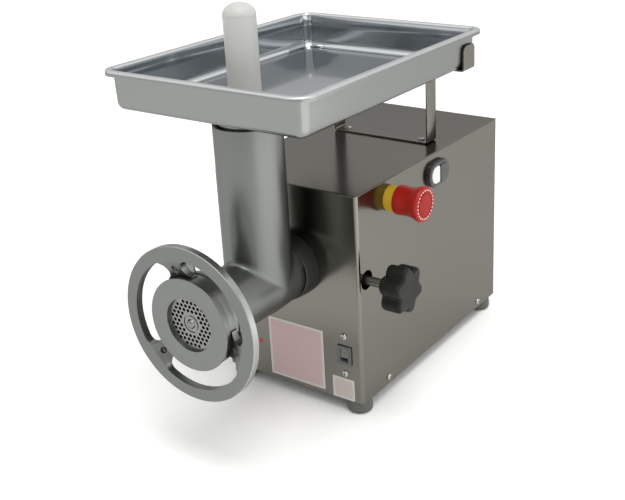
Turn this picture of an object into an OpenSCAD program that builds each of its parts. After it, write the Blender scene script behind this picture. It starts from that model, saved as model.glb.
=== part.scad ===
/* [Cabinet] */
// Width of the cabinet, side to side
case_w = 190; // [184:1:200]
// Depth of the cabinet, front to back
case_d = 320; // [312:1:340]
// Height of the cabinet above its feet
case_h = 245; // [240:1:260]
// Distance from the grinding axis to the right side of the cabinet
axis_to_side = 88; // [86:1:92]
// Thickness of the stainless sheet
sheet = 1.5; // [1.2:0.1:2]
// Radius of the folded front corners
fold_r = 3.5; // [2.5:0.5:5]
// Radius of a rubber foot
foot_r = 14.5; // [12:0.5:16]
// Height of a rubber foot
foot_h = 15.5; // [12:0.5:20]
// Inset of a foot's centre from the cabinet's corner
foot_inset = 13.5; // [12:0.5:16]

/* [Grinding head] */
// Height of the grinding axis above the cabinet's underside
axis_z = 152; // [150:1:156]
// Outer radius of the barrel
barrel_r = 34.2; // [33.9:0.1:34.8]
// Bore of the barrel, where the auger turns
chamber_r = 29; // [28.5:0.1:29.5]
// Outer radius of the feed tube
tube_r = 35.3; // [34.5:0.1:36]
// Distance of the feed tube's axis in front of the cabinet
tube_out = 56; // [56:0.5:58]
// Height of the feed tube's rim above the cabinet's underside
tube_top = 328; // [320:1:332]
// Radius of the spigot that plugs into the drive socket
spigot_r = 28; // [27.5:0.1:28.5]
// How far the spigot reaches into the cabinet
spigot_in = 22; // [18:1:24]
// Radius of the grinding plate
plate_r = 35; // [34.5:0.1:35.2]
// Thickness of the grinding plate
plate_t = 8; // [6:0.5:8]
// Radius of one hole in the grinding plate
plate_hole_r = 1.8; // [1.5:0.05:2]
// Distance between neighbouring holes in the grinding plate
plate_pitch = 5.2; // [4.6:0.1:5.6]

/* [Handwheel and ring nut] */
// Distance of the ring nut's front face in front of the cabinet
nut_out = 166; // [164:1:168]
// Radius of the ring nut's front face
nut_r = 48.9; // [48.5:0.1:50]
// Radius of the round opening in the ring nut
nut_open_r = 28.1; // [27.5:0.1:29]
// Outer radius of the handwheel
wheel_r = 81.7; // [80:0.1:85]
// Width of the handwheel's rim
rim_w = 13.2; // [12:0.1:15]
// Thickness of the handwheel's rim
rim_t = 8; // [7:0.5:9]
// How far the spokes are dished back at the hub
dish = 8; // [6:0.5:9]
// Angle of the first spoke, seen from the front
spoke_at = 104; // [90:1:120]
// Half the angle that a spoke takes between the centres of the slot ends
spoke_half = 19; // [18:0.5:21]

/* [Tray] */
// Half the width of the tray over its rim
tray_hw = 126; // [122:1:130]
// Front edge of the tray, in front of the cabinet
tray_front = 129.5; // [128:0.5:132]
// Back edge of the tray, behind the cabinet's front
tray_back = 215; // [213:1:220]
// Height of the tray's rim above the cabinet's underside
tray_top = 383; // [381:1:385]
// Height of the tray's underside above the cabinet's underside
tray_low = 342; // [340:1:344]
// Thickness of the tray's sheet
tray_t = 1.2; // [1:0.1:1.5]
// Overhang of the rim beyond the wall
tray_lip = 8; // [7:0.5:9]
// Radius of the pusher's rod
pusher_r = 16.5; // [15:0.5:18]
// Height of the pusher's top above the cabinet's underside
pusher_top = 446; // [440:1:455]

/* [Controls] */
// Height of the clamp screw above the cabinet's underside
clamp_z = 146; // [145:0.5:150]
// Distance of the clamp screw behind the cabinet's front
clamp_y = 15; // [14:0.5:15]
// How far the star knob's outer face stands from the side panel
knob_out = 54; // [50:1:60]
// Outer radius of the star knob
knob_r = 27; // [25:0.5:30]
// Distance of the stop button behind the cabinet's front
stop_y = 64.5; // [60:0.5:66]
// Height of the stop button above the cabinet's underside
stop_z = 223; // [222:1:226]
// Radius of the stop button's mushroom head
stop_r = 19.5; // [18:0.5:20]
// Distance of the double push button behind the cabinet's front
start_y = 166; // [155:1:170]
// Height of the double push button above the cabinet's underside
start_z = 220.5; // [214:0.5:222]
// Distance between the centres of the two round ends of the double push button
start_length = 16; // [14:1:22]

/* [Drive] */
// Module of the first pair of gears
module_1 = 1.25; // [1.25:0.05:1.25]
// Module of the second pair of gears
module_2 = 1.75; // [1.75:0.05:1.75]
// Teeth on each pinion
pinion_teeth = 17; // [17:1:17]
// Teeth on the intermediate gear
mid_teeth = 56; // [54:1:56]
// Teeth on the output gear
out_teeth = 54; // [52:1:54]
// Motor axis, left of the grinding axis
motor_left = 10; // [8:1:12]
// Height of the motor axis above the cabinet's underside
motor_z = 75; // [74:1:78]

/* [Hidden] */
$fn = 96;

// Colours
steel = "#8d8b84";
bright_steel = "#b9bec0";
cast = "#8f918f";
dark_plastic = "#2c2d2b";
rubber_black = "#1d1d1c";
machined = "#c2c4c6";

// The row's origin is below the middle of the whole machine, on the surface it stands on
gland_out = 16;
wheel_front = nut_out + 0.5;
mid_x = (axis_to_side + knob_out - tray_hw) / 2;
mid_y = (case_d + gland_out - wheel_front) / 2;
case_left = axis_to_side - case_w;
gap = 0.3;
fit = 0.05;

// From the cabinet's own corner to the row's origin; in the cabinet's own frame the grinding axis is at x 0,
// the front face at y 0 and the underside at z 0
module placed() {
    translate([-mid_x, -mid_y, foot_h]) children();
}

// A cylinder along the grinding direction, from one distance behind the cabinet's front to another
module y_rod(r, from, to, x = 0, z = axis_z) {
    translate([x, to, z]) rotate([90, 0, 0]) cylinder(r = r, h = to - from);
}

// A solid turned about the grinding direction; its outline holds [radius, distance behind the front]
module y_turned(outline, x = 0, z = axis_z) {
    translate([x, 0, z]) rotate([-90, 0, 0]) rotate_extrude() polygon(outline);
}

// A cylinder that stands out from the right side panel, from one distance outside it to another
module side_rod(r, from, to, y, z) {
    translate([axis_to_side + from, y, z]) rotate([0, 90, 0]) cylinder(r = r, h = to - from);
}

// A solid turned about the sideways direction; its outline holds [radius, distance outside the side panel]
module side_turned(outline, y, z) {
    translate([axis_to_side, y, z]) rotate([0, 90, 0]) rotate_extrude() polygon(outline);
}

// A block between two corners
module block(low, high) {
    translate(low) cube(high - low);
}

// A flat rounded rectangle between two corners
module rounded_sheet(low, high, r) {
    translate([low.x + r, low.y]) square([high.x - low.x - 2 * r, high.y - low.y]);
    translate([low.x, low.y + r]) square([high.x - low.x, high.y - low.y - 2 * r]);
    for (x = [low.x + r, high.x - r], y = [low.y + r, high.y - r]) translate([x, y]) circle(r = r);
}

// ---- Cabinet ----

// Outline of the cabinet seen from above, with folded corners at the front
module case_outline(inset) {
    r = fold_r - inset;
    translate([case_left + inset, fold_r]) square([case_w - 2 * inset, case_d - fold_r + 1]);
    translate([case_left + fold_r, inset]) square([case_w - 2 * fold_r, case_d - inset]);
    for (x = [case_left + fold_r, axis_to_side - fold_r]) translate([x, fold_r]) circle(r = r);
}

socket_r = 33.6;
panel_hole_r = 11.1;
clamp_hole_r = 10.9;
side_screw_y = [54, 274];
side_screw_z = 8;
rear_screw_x = [case_left + 8, axis_to_side - 8];
rear_screw_z = [10, case_h / 2, case_h - 10];
selector_x = 65.5;
selector_z = 56;
selector_screw_dz = 23;
pilot_x = -52.8;
pilot_z = 42;
screw_r = 2;

module cabinet_shell() {
    color(steel) placed() difference() {
        intersection() {
            linear_extrude(case_h) case_outline(0);
            block([case_left, 0, 0], [axis_to_side, case_d - sheet, case_h]);
        }
        translate([0, 0, -1]) linear_extrude(case_h - sheet + 1) case_outline(sheet);
        y_rod(socket_r + 0.6, -1, 4);
        side_rod(clamp_hole_r, -3, 1, clamp_y, clamp_z);
        side_rod(panel_hole_r, -3, 1, stop_y, stop_z);
        side_rod(panel_hole_r, -3, 1, start_y, start_z);
        y_rod(2.2, -1, 4, pilot_x, pilot_z);
        block([selector_x - 7, -1, selector_z - 9], [selector_x + 7, 4, selector_z + 9]);
        for (s = [-1, 1]) y_rod(screw_r + 0.1, -1, 4, selector_x, selector_z + s * selector_screw_dz);
        for (y = side_screw_y) translate([case_left - 1, y, side_screw_z]) rotate([0, 90, 0])
            cylinder(r = screw_r + 0.1, h = case_w + 2);
        for (s = [-1, 1]) translate([s * bracket_screw_x, bracket_y, case_h - 3])
            cylinder(r = screw_r + 0.1, h = 4);
    }
}

gland_x = 50;
gland_z = 38;
vent_count = 9;
vent_pitch = 12;

module rear_cover() {
    color(steel) placed() difference() {
        union() {
            block([case_left, case_d - sheet, 0], [axis_to_side, case_d, case_h]);
            // Return flanges inside the shell
            for (x = [case_left + sheet + gap, axis_to_side - 2 * sheet - gap])
                block([x, case_d - 14, 16], [x + sheet, case_d - sheet + 0.1, case_h - 4]);
        }
        for (i = [0 : vent_count - 1]) block([case_left + 45, case_d - 3, 90 + i * vent_pitch],
            [axis_to_side - 45, case_d + 1, 94 + i * vent_pitch]);
        y_rod(8.1, case_d - 3, case_d + 1, gland_x, gland_z);
        for (x = rear_screw_x, z = rear_screw_z) y_rod(screw_r + 0.1, case_d - 3, case_d + 1, x, z);
    }
}

// Bottom tray of the cabinet, with upturned edges that the side screws pass into
module base_plate() {
    inset = sheet + gap;
    color(steel) placed() difference() {
        intersection() {
            linear_extrude(15) case_outline(inset);
            block([case_left, 0, -1], [axis_to_side, case_d - sheet - gap, 16]);
        }
        block([case_left + inset + sheet, inset + sheet, sheet],
            [axis_to_side - inset - sheet, case_d - sheet - gap + 1, 16]);
        for (y = side_screw_y) translate([case_left - 1, y, side_screw_z]) rotate([0, 90, 0])
            cylinder(r = screw_r + 0.1, h = case_w + 2);
        for (x = foot_x, y = foot_y) translate([x, y, -1]) cylinder(r = 3.1, h = 4);
    }
}

foot_x = [case_left + foot_inset, axis_to_side - foot_inset];
foot_y = [foot_inset, case_d - foot_inset - 4];

// A rubber foot with a moulded-in stud and its nut inside the cabinet
module foot(x, y) {
    color(rubber_black) placed() translate([x, y, 0]) rotate_extrude() polygon([
        [0, -foot_h], [foot_r - 1.5, -foot_h], [foot_r - 0.3, -foot_h + 1.2], [foot_r, -foot_h + 3],
        [foot_r - 0.8, -gap], [3, -gap], [3, 8], [0, 8]]);
}
module foot_front_left() { foot(foot_x[0], foot_y[0]); }
module foot_front_right() { foot(foot_x[1], foot_y[0]); }
module foot_back_left() { foot(foot_x[0], foot_y[1]); }
module foot_back_right() { foot(foot_x[1], foot_y[1]); }

// A pan-head screw pointing down, its head's underside at the origin
module pan_screw(head_r, length) {
    rotate_extrude() polygon([
        [0, -length], [screw_r, -length], [screw_r, 0],
        [head_r, 0], [head_r, 0.9], [head_r * 0.75, 1.9], [0, 2.3]]);
}

module case_screws() {
    color(machined) placed() {
        for (y = side_screw_y) {
            translate([axis_to_side, y, side_screw_z]) rotate([0, 90, 0]) pan_screw(4, 8);
            translate([case_left, y, side_screw_z]) rotate([0, -90, 0]) pan_screw(4, 8);
        }
        for (x = rear_screw_x, z = rear_screw_z)
            translate([x, case_d, z]) rotate([-90, 0, 0]) pan_screw(4, 8);
    }
}

// ---- Tray bracket ----

strip_w = 21;
strip_t = 2;
bracket_y = 195.5;
bracket_x = 66;
bracket_screw_x = 52;
cradle_w = 25;
cradle_y = 185.5;
clip_x = 118.4;
clip_top = 368.5;
cradle_top = tray_low - gap;

// A flat strip bent into an open frame: a foot strip, two uprights and two short turned-in tops
module bracket_frame() {
    y0 = bracket_y - strip_w / 2;
    y1 = bracket_y + strip_w / 2;
    top = cradle_top - strip_t - 0.02;
    color(steel) placed() difference() {
        union() {
            block([-bracket_x, y0, case_h], [bracket_x, y1, case_h + strip_t]);
            for (s = [-1, 1]) block([min(s * bracket_x, s * (bracket_x - strip_t)), y0, case_h],
                [max(s * bracket_x, s * (bracket_x - strip_t)), y1, top]);
            for (s = [-1, 1]) block([min(s * bracket_x, s * (bracket_x - 16)), y0, top - strip_t],
                [max(s * bracket_x, s * (bracket_x - 16)), y1, top]);
        }
        for (s = [-1, 1]) translate([s * bracket_screw_x, bracket_y, case_h - 1])
            cylinder(r = screw_r + 0.1, h = 5);
    }
}

// The cross strip that the tray's underside rests on, with its ends turned up beside the tray
module tray_cradle() {
    y0 = cradle_y - cradle_w / 2;
    y1 = cradle_y + cradle_w / 2;
    corner = 6;
    color(steel) placed() {
        block([-clip_x - strip_t, y0, cradle_top - strip_t], [clip_x + strip_t, y1, cradle_top]);
        for (s = [-1, 1]) translate([s * (clip_x + strip_t / 2) - strip_t / 2, 0, 0]) rotate([90, 0, 90])
            linear_extrude(strip_t) {
                translate([y0, cradle_top - strip_t])
                    square([cradle_w, clip_top - cradle_top + strip_t - corner]);
                translate([y0 + corner, clip_top - corner - 1]) square([cradle_w - 2 * corner, corner + 1]);
                for (y = [y0 + corner, y1 - corner]) translate([y, clip_top - corner]) circle(r = corner);
            }
    }
}

module bracket_screws() {
    color(machined) placed() for (s = [-1, 1]) translate([s * bracket_screw_x, bracket_y, case_h + strip_t])
        pan_screw(4, 10);
}

// ---- Front panel ----

label_t = 0.5;

module large_label() {
    color("#d9d6d4") placed() block([-38.7, -label_t, 4.4], [37.2, 0, 78.4]);
}
module small_label() {
    color("#d9d6d4") placed() block([48, -label_t, 0.5], [77, 0, 27]);
}
module pilot_lens() {
    color("#a01820") placed() {
        y_rod(2.1, 0, 6, pilot_x, pilot_z);
        y_turned([[0, -1.5], [1.6, -1.2], [2.8, -0.4], [2.8, 0], [0, 0]], pilot_x, pilot_z);
    }
}

selector_travel = 4;
module selector_frame() {
    color(dark_plastic) placed() difference() {
        union() {
            block([selector_x - 9.3, -2, selector_z - 11.5], [selector_x + 9.3, 0, selector_z + 11.5]);
            block([selector_x - 6.8, -2, selector_z - 8.8], [selector_x + 6.8, 14, selector_z + 8.8]);
        }
        block([selector_x - 5.2, -3, selector_z - 7.4], [selector_x + 5.2, 8, selector_z + 7.4]);
    }
}
module selector_slider() {
    color("#4a4a48") placed() difference() {
        block([selector_x - 4.9, -0.6, selector_z - 3], [selector_x + 4.9, 7.7, selector_z + 7.1]);
        for (i = [0 : 2])
            block([selector_x - 3.5, -1, selector_z + (i - 0.5) * 2.4],
                [selector_x + 3.5, 0, selector_z + i * 2.4]);
    }
}
module selector_screws() {
    color(machined) placed() for (s = [-1, 1]) translate([selector_x, 0, selector_z + s * selector_screw_dz])
        rotate([90, 0, 0]) pan_screw(4, 7);
}

// ---- Stop and start buttons ----

stop_out = 44.5;
stop_skirt_at = 12;
stop_travel = 4;
stem_r = 5;

module stop_collar() {
    color("#d8b21c") placed() difference() {
        union() {
            side_rod(14.3, 0, 13.5, stop_y, stop_z);
            side_rod(10.9, -16, 0.1, stop_y, stop_z);
        }
        side_rod(stem_r + 0.06, -17, 14, stop_y, stop_z);
    }
}
module stop_stem() {
    color(dark_plastic) placed() {
        side_rod(stem_r, -22, 37, stop_y, stop_z);
        side_rod(stem_r + 3, 33, 37, stop_y, stop_z);
    }
}
// Mushroom head: a hollow skirt that slides over the collar, a waist and a flared face
module stop_head() {
    color("#a8201a") placed() side_turned([
        [14.7, stop_skirt_at], [16.3, stop_skirt_at], [16.3, stop_skirt_at + 5], [15.6, stop_skirt_at + 12],
        [16.6, stop_skirt_at + 21], [stop_r - 1.2, stop_out - 7], [stop_r, stop_out - 4.8],
        [stop_r, stop_out - 2.2], [stop_r - 1, stop_out], [13.6, stop_out], [13.2, stop_out - 0.8],
        [0, stop_out - 0.8], [0, 37.1], [stem_r + 3.1, 37.1], [stem_r + 3.1, 32.9], [stem_r + 0.06, 32.9],
        [stem_r + 0.06, 19], [14.7, 19]], stop_y, stop_z);
}
// Block of switch contacts behind the side panel, with a hole for each stem
module contact_block(y, z, stems, r) {
    color("#d9d4c2") placed() difference() {
        block([axis_to_side - 46, y - 12.5, z - 12.5], [axis_to_side - 17, y + 12.5, z + 12.5]);
        for (d = stems) side_rod(r, -32, -16, y + d, z);
    }
}
module stop_contacts() { contact_block(stop_y, stop_z, [0], stem_r + 0.4); }
module start_contacts() { contact_block(start_y, start_z, [-cap_stem, cap_stem], cap_stem_r + 0.4); }

start_out = 5.5;
start_r = 15;
cap_r = 10.2;
cap_back = 3.6;
cap_front = 6.3;
cap_stem = 5.5;
cap_stem_r = 3;
// Slot-shaped solid on the side panel, from one distance outside it to another
module side_pill(r, from, to) {
    translate([axis_to_side + from, start_y, start_z]) rotate([0, 90, 0]) linear_extrude(to - from) {
        for (s = [-1, 1]) translate([0, s * start_length / 2]) circle(r = r);
        translate([-r, -start_length / 2]) square([2 * r, start_length]);
    }
}
// Oblong housing of the double push button, with its threaded neck through the panel
module button_housing() {
    color(dark_plastic) placed() difference() {
        union() {
            side_pill(start_r, 0, start_out);
            side_rod(10.9, -16, 0.1, start_y, start_z);
        }
        side_pill(cap_r + 0.3, 1, start_out + 1);
        for (s = [-1, 1]) side_rod(cap_stem_r + 0.06, -17, 3, start_y + s * cap_stem, start_z);
    }
}
// One cap fills half of the housing; -1 is the half towards the front
module cap(half) {
    reach = start_length / 2 + cap_r + 1;
    intersection() {
        side_pill(cap_r, cap_back, cap_front);
        translate([axis_to_side, start_y + half * (0.8 + reach / 2), start_z])
            cube([20, reach, 40], center = true);
    }
    side_rod(cap_stem_r, -20, cap_back + 0.5, start_y + half * cap_stem, start_z);
}
module start_cap() {
    color("#ececec") placed() cap(-1);
}
module off_cap() {
    color("#1d1e1e") placed() cap(1);
}
// Hexagonal nuts that hold both buttons behind the side panel
module control_nuts() {
    color(machined) placed() for (at = [[stop_y, stop_z], [start_y, start_z]])
        translate([axis_to_side - 6.6, at.x, at.y]) rotate([0, 90, 0]) difference() {
            cylinder(r = 15, h = 5, $fn = 6);
            translate([0, 0, -1]) cylinder(r = 10.95, h = 7);
        }
}

// ---- Clamp ----

flat_x = 26.4;
clamp_pitch = 1.5;
clamp_turns = 3;
knob_back = 29;

module clamp_pad() {
    color(machined) placed() translate([0, clamp_y, clamp_z]) rotate([0, 90, 0]) difference() {
        translate([0, 0, flat_x + gap]) cylinder(r = 6.5, h = 5);
        translate([0, 0, flat_x + gap + 2]) cylinder(r = 3.06, h = 4);
    }
}
module clamp_screw() {
    color(machined) placed() {
        side_rod(5, flat_x + gap + 5.1 - axis_to_side, knob_back + 14, clamp_y, clamp_z);
        side_rod(3, flat_x + gap + 2.2 - axis_to_side, flat_x + gap + 5.2 - axis_to_side, clamp_y, clamp_z);
    }
}
lobes = 6;
module star_knob() {
    color(dark_plastic) placed() difference() {
        union() {
            side_rod(9, 21, knob_back + 1, clamp_y, clamp_z);
            translate([axis_to_side + knob_back, clamp_y, clamp_z]) rotate([0, 90, 0])
                linear_extrude(knob_out - knob_back - 2) star(0);
            translate([axis_to_side + knob_out - 2.1, clamp_y, clamp_z]) rotate([0, 90, 0])
                linear_extrude(2.1) star(1.2);
        }
        side_rod(5.03, 20, knob_back + 14.1, clamp_y, clamp_z);
    }
}
// Six round lobes with hollows between them
module star(inset) {
    lobe_r = 7.2 - inset;
    difference() {
        union() {
            circle(r = 22 - inset);
            for (i = [0 : lobes - 1]) rotate(i * 360 / lobes + 10)
                translate([knob_r - 7.2, 0]) circle(r = lobe_r);
        }
        for (i = [0 : lobes - 1]) rotate((i + 0.5) * 360 / lobes + 10)
            translate([knob_r + 1.5, 0]) circle(r = 7 + inset);
    }
}

// ---- Drive socket and gearbox ----

cover_y = 26;
cover_t = 12;
box_y = cover_y + cover_t;
box_wall = 6;
box_back = 78;
box_end = 90;
box_x = [-88, 58];
box_z = [48, 208];
out_bearing = [12.5, 23.5, 12];
mid_bearing = [7.5, 17.5, 11];
nose_r = 14;
tang = 14;

// Centre distances of the two gear pairs, and the intermediate axis found from them
centre_1 = module_1 * (pinion_teeth + mid_teeth) / 2;
centre_2 = module_2 * (pinion_teeth + out_teeth) / 2;
motor_at = [-motor_left, motor_z];
out_at = [0, axis_z];
out_to_motor = norm(motor_at - out_at);
line_angle = atan2(motor_at.y - out_at.y, motor_at.x - out_at.x);
corner_angle = acos((centre_2 * centre_2 + out_to_motor * out_to_motor - centre_1 * centre_1)
    / (2 * centre_2 * out_to_motor));
mid_angle = line_angle - corner_angle;
mid_at = out_at + centre_2 * [cos(mid_angle), sin(mid_angle)];
mid_to_motor = atan2(motor_at.y - mid_at.y, motor_at.x - mid_at.x);

module drive_socket() {
    color(cast) placed() difference() {
        union() {
            y_rod(socket_r, -11.5, cover_y - 8);
            y_rod(46, cover_y - 8, cover_y);
            translate([socket_r - 6, clamp_y, clamp_z]) rotate([0, 90, 0]) cylinder(r = 9.5, h = 22);
        }
        y_rod(spigot_r + fit, -12, cover_y + 1);
        translate([spigot_r - 8, clamp_y, clamp_z]) rotate([0, 90, 0]) cylinder(r = 6.8, h = 17);
        translate([spigot_r, clamp_y, clamp_z]) rotate([0, 90, 0]) cylinder(r = 5.05, h = 30);
        for (a = socket_bolt_angles) y_rod(3.1, 0, cover_y + 1, 40 * cos(a), axis_z + 40 * sin(a));
    }
}
socket_bolt_angles = [45, 135, 225, 315];

// Black collar around the mouth of the socket
module front_collar() {
    color(rubber_black) placed() y_turned([
        [socket_r + 0.2, -0.1], [socket_r + 0.2, -20.2], [34.8, -20.2],
        [35.4, -19.6], [36.8, -4.5], [36.8, -0.1]]);
}

module gearbox_cover() {
    color(cast) placed() difference() {
        block([box_x[0], cover_y, box_z[0]], [box_x[1], box_y, box_z[1]]);
        y_rod(out_bearing[1] + 0.02, cover_y - 1, box_y + 1);
        y_rod(mid_bearing[1] + 0.02, cover_y + 1, box_y + 1, mid_at.x, mid_at.y);
        for (p = box_bolt_at) y_rod(3.1, cover_y - 1, box_y + 1, p.x, p.y);
        for (a = socket_bolt_angles) y_rod(2.9, cover_y - 1, box_y + 1, 40 * cos(a), axis_z + 40 * sin(a));
    }
}
box_bolt_at = [for (x = [box_x[0] + 5, box_x[1] - 5], z = [box_z[0] + 5, box_z[1] - 5]) [x, z]];

module gearbox_housing() {
    color(cast) placed() difference() {
        block([box_x[0], box_y, box_z[0]], [box_x[1], box_end, box_z[1]]);
        difference() {
            block([box_x[0] + box_wall, box_y - 1, box_z[0] + box_wall],
                [box_x[1] - box_wall, box_back, box_z[1] - box_wall]);
            for (p = box_bolt_at) y_rod(6, box_y - 2, box_back + 1, p.x, p.y);
        }
        y_rod(out_bearing[1] + 0.02, box_back - 1, box_end + 1);
        y_rod(mid_bearing[1] + 0.02, box_back - 1, box_end - 1, mid_at.x, mid_at.y);
        y_rod(24, box_back - 1, box_end + 1, motor_at.x, motor_at.y);
        for (p = box_bolt_at) y_rod(2.9, box_y - 1, box_y + 20, p.x, p.y);
    }
}

// A cap screw pointing backwards, its head's seat at y = 0
module cap_screw(r, length) {
    rotate([-90, 0, 0]) rotate_extrude() polygon([
        [0, length], [r, length], [r, 0], [r * 1.7, 0], [r * 1.7, -5.6], [r * 1.5, -6], [r * 0.9, -6],
        [r * 0.9, -3], [0, -3]]);
}
module gearbox_bolts() {
    color(machined) placed() {
        for (p = box_bolt_at) translate([p.x, cover_y, p.y]) cap_screw(2.9, 28);
        for (a = socket_bolt_angles)
            translate([40 * cos(a), cover_y - 8, axis_z + 40 * sin(a)]) cap_screw(2.9, 19);
    }
}

// Half the angle that a tooth takes at a radius, for an involute of 20 degrees
function involute(a) = tan(a) - a * PI / 180;
function half_tooth(r, m, teeth, slack) = let (pitch_r = m * teeth / 2, base_r = pitch_r * cos(20))
    90 / teeth - slack / pitch_r * 90 / PI
        + (involute(20) - (r > base_r ? involute(acos(base_r / r)) : 0)) * 180 / PI;
flank_steps = 4;
function flank(m, teeth) = let (root = m * (teeth / 2 - 1.25), tip = m * (teeth / 2 + 1),
    base = max(root + 0.01, m * teeth / 2 * cos(20)))
    concat([root], [for (i = [0 : flank_steps]) base + (tip - base) * i / flank_steps]);
// A flat toothed wheel; the tooth that starts the count is centred at the phase
module toothed(m, teeth, phase) {
    slack = 0.09;
    radii = flank(m, teeth);
    polygon([for (t = [0 : teeth - 1]) let (at = phase + t * 360 / teeth)
        each concat(
            [for (r = radii) let (a = at - half_tooth(r, m, teeth, slack)) r * [cos(a), sin(a)]],
            [for (i = [len(radii) - 1 : -1 : 0]) let (r = radii[i], a = at + half_tooth(r, m, teeth, slack))
                r * [cos(a), sin(a)]])]);
}
module gear(m, teeth, phase, from, to, at) {
    translate([at.x, to, at.y]) rotate([90, 0, 0]) linear_extrude(to - from) toothed(m, teeth, phase);
}
// Phase of a gear that meshes with one already placed, in the direction from the placed one to it
function meshing(teeth_a, phase_a, teeth_b, direction) =
    direction + 180 - (0.5 - (direction - phase_a) * teeth_a / 360) * 360 / teeth_b;
phase_mid_pinion = meshing(out_teeth, 0, pinion_teeth, mid_angle);
phase_motor = meshing(mid_teeth, 0, pinion_teeth, mid_to_motor);

module output_shaft() {
    color(machined) placed() difference() {
        union() {
            y_rod(nose_r, 2, cover_y - 0.2);
            y_rod(out_bearing[0] - 0.03, cover_y - 0.3, box_end + 2);
        }
        block([-tang / 2 - 0.2, 1, axis_z - tang / 2 - 0.2], [tang / 2 + 0.2, 19, axis_z + tang / 2 + 0.2]);
    }
}
module output_gear() {
    color("#a9a79f") placed() difference() {
        union() {
            gear(module_2, out_teeth, 0, 42, 58, out_at);
            y_rod(20, 39, 61);
        }
        y_rod(out_bearing[0] - 0.01, 38, 62);
        for (a = [0 : 60 : 300]) y_rod(5, 38, 62, 31 * cos(a), axis_z + 31 * sin(a));
    }
}
module intermediate_shaft() {
    color(machined) placed() {
        gear(module_2, pinion_teeth, phase_mid_pinion, 41, 59, mid_at);
        y_rod(mid_bearing[0] - 0.03, cover_y + 1.5, box_end - 1.5, mid_at.x, mid_at.y);
    }
}
module intermediate_gear() {
    color("#a9a79f") placed() difference() {
        gear(module_1, mid_teeth, 0, 63, 74, mid_at);
        y_rod(mid_bearing[0] - 0.01, 62, 75, mid_at.x, mid_at.y);
    }
}
// A ball bearing as one ring
module bearing(size, from, at) {
    color(machined) placed() difference() {
        y_rod(size[1], from, from + size[2], at.x, at.y);
        y_rod(size[0] + 0.01, from - 1, from + size[2] + 1, at.x, at.y);
        for (y = [from - 1, from + size[2] - 0.8]) difference() {
            y_rod(size[1] - 2.2, y, y + 1.8, at.x, at.y);
            y_rod(size[0] + 2.2, y - 1, y + 3, at.x, at.y);
        }
    }
}
module output_bearings() {
    bearing(out_bearing, cover_y, out_at);
    bearing(out_bearing, box_back, out_at);
}
module intermediate_bearings() {
    bearing(mid_bearing, cover_y + 1, mid_at);
    bearing(mid_bearing, box_back, mid_at);
}
module oil_seal() {
    color(rubber_black) placed() difference() {
        y_rod(spigot_r - 0.1, cover_y - 3.5, cover_y - 0.1);
        y_rod(nose_r + fit, cover_y - 4, cover_y);
    }
}

// ---- Motor ----

motor_r = 58;
motor_from = box_end;
motor_to = 232;
motor_bearing = [7.5, 16, 9];
module motor_stator() {
    color("#3b4148") placed() difference() {
        union() {
            y_rod(motor_r, motor_from + 12, motor_to - 26, motor_at.x, motor_at.y);
            // Front flange that bolts to the gearbox
            block([motor_at.x - 46, motor_from, motor_at.y - 26],
                [motor_at.x + 46, motor_from + 13, motor_at.y + 46]);
            y_rod(23.9, box_back + 3, motor_from + 0.1, motor_at.x, motor_at.y);
            for (i = [0 : 23]) translate([motor_at.x, 0, motor_at.y]) rotate([0, i * 15, 0])
                block([motor_r - 1, motor_from + 22, -1], [motor_r + 3, motor_to - 34, 1]);
            // Two feet that stand on the base plate
            for (y = [motor_from + 30, motor_to - 60])
                block([motor_at.x - 40, y, sheet + 0.1], [motor_at.x + 40, y + 16, 30]);
        }
        y_rod(50, motor_from + 14, motor_to, motor_at.x, motor_at.y);
        y_rod(motor_bearing[1] + 0.02, box_back + 3, motor_from + 15, motor_at.x, motor_at.y);
    }
}
module motor_end_bell() {
    color("#3b4148") placed() difference() {
        y_turned([[0, motor_to - 26 + 0.1], [motor_r, motor_to - 26 + 0.1], [motor_r, motor_to - 10],
            [motor_r - 8, motor_to], [0, motor_to]], motor_at.x, motor_at.y);
        y_rod(50, motor_to - 28, motor_to - 6, motor_at.x, motor_at.y);
        for (a = [0 : 60 : 300])
            y_rod(8, motor_to - 8, motor_to + 1, motor_at.x + 34 * cos(a), motor_at.y + 34 * sin(a));
        y_rod(motor_bearing[0] + 0.6, motor_to - 8, motor_to + 1, motor_at.x, motor_at.y);
    }
}
module motor_shaft() {
    color(machined) placed() {
        y_rod(motor_bearing[0] - 0.03, 76, motor_to - 10, motor_at.x, motor_at.y);
        gear(module_1, pinion_teeth, phase_motor, 62, 76.1, motor_at);
    }
}
module motor_rotor() {
    color("#8a8580") placed() difference() {
        y_rod(48, motor_from + 22, motor_to - 52, motor_at.x, motor_at.y);
        y_rod(motor_bearing[0] - 0.01, motor_from + 20, motor_to - 50, motor_at.x, motor_at.y);
    }
}
module motor_bearings() {
    bearing(motor_bearing, box_back + 4, motor_at);
    color(machined) placed() difference() {
        y_rod(49.98, motor_to - 26 + 0.2, motor_to - 22, motor_at.x, motor_at.y);
        y_rod(motor_bearing[0] + 0.01, motor_to - 27, motor_to - 21, motor_at.x, motor_at.y);
    }
}
blades = 8;
module cooling_fan() {
    color("#6d7278") placed() difference() {
        union() {
            y_rod(13, motor_to - 48, motor_to - 30, motor_at.x, motor_at.y);
            for (i = [0 : blades - 1]) translate([motor_at.x, 0, motor_at.y])
                rotate([0, i * 360 / blades, 0])
                block([10, motor_to - 46, -1], [46, motor_to - 30, 1]);
        }
        y_rod(motor_bearing[0] - 0.01, motor_to - 50, motor_to - 28, motor_at.x, motor_at.y);
    }
}
module capacitor() {
    color("#c9c9c4") placed() {
        y_rod(17, 130, 205, -66, 185);
        y_rod(12, 205, 209, -66, 185);
        for (x = [-71, -61]) block([x - 2.5, 208.9, 184], [x + 2.5, 217, 186]);
    }
}
ways = 5;
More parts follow.
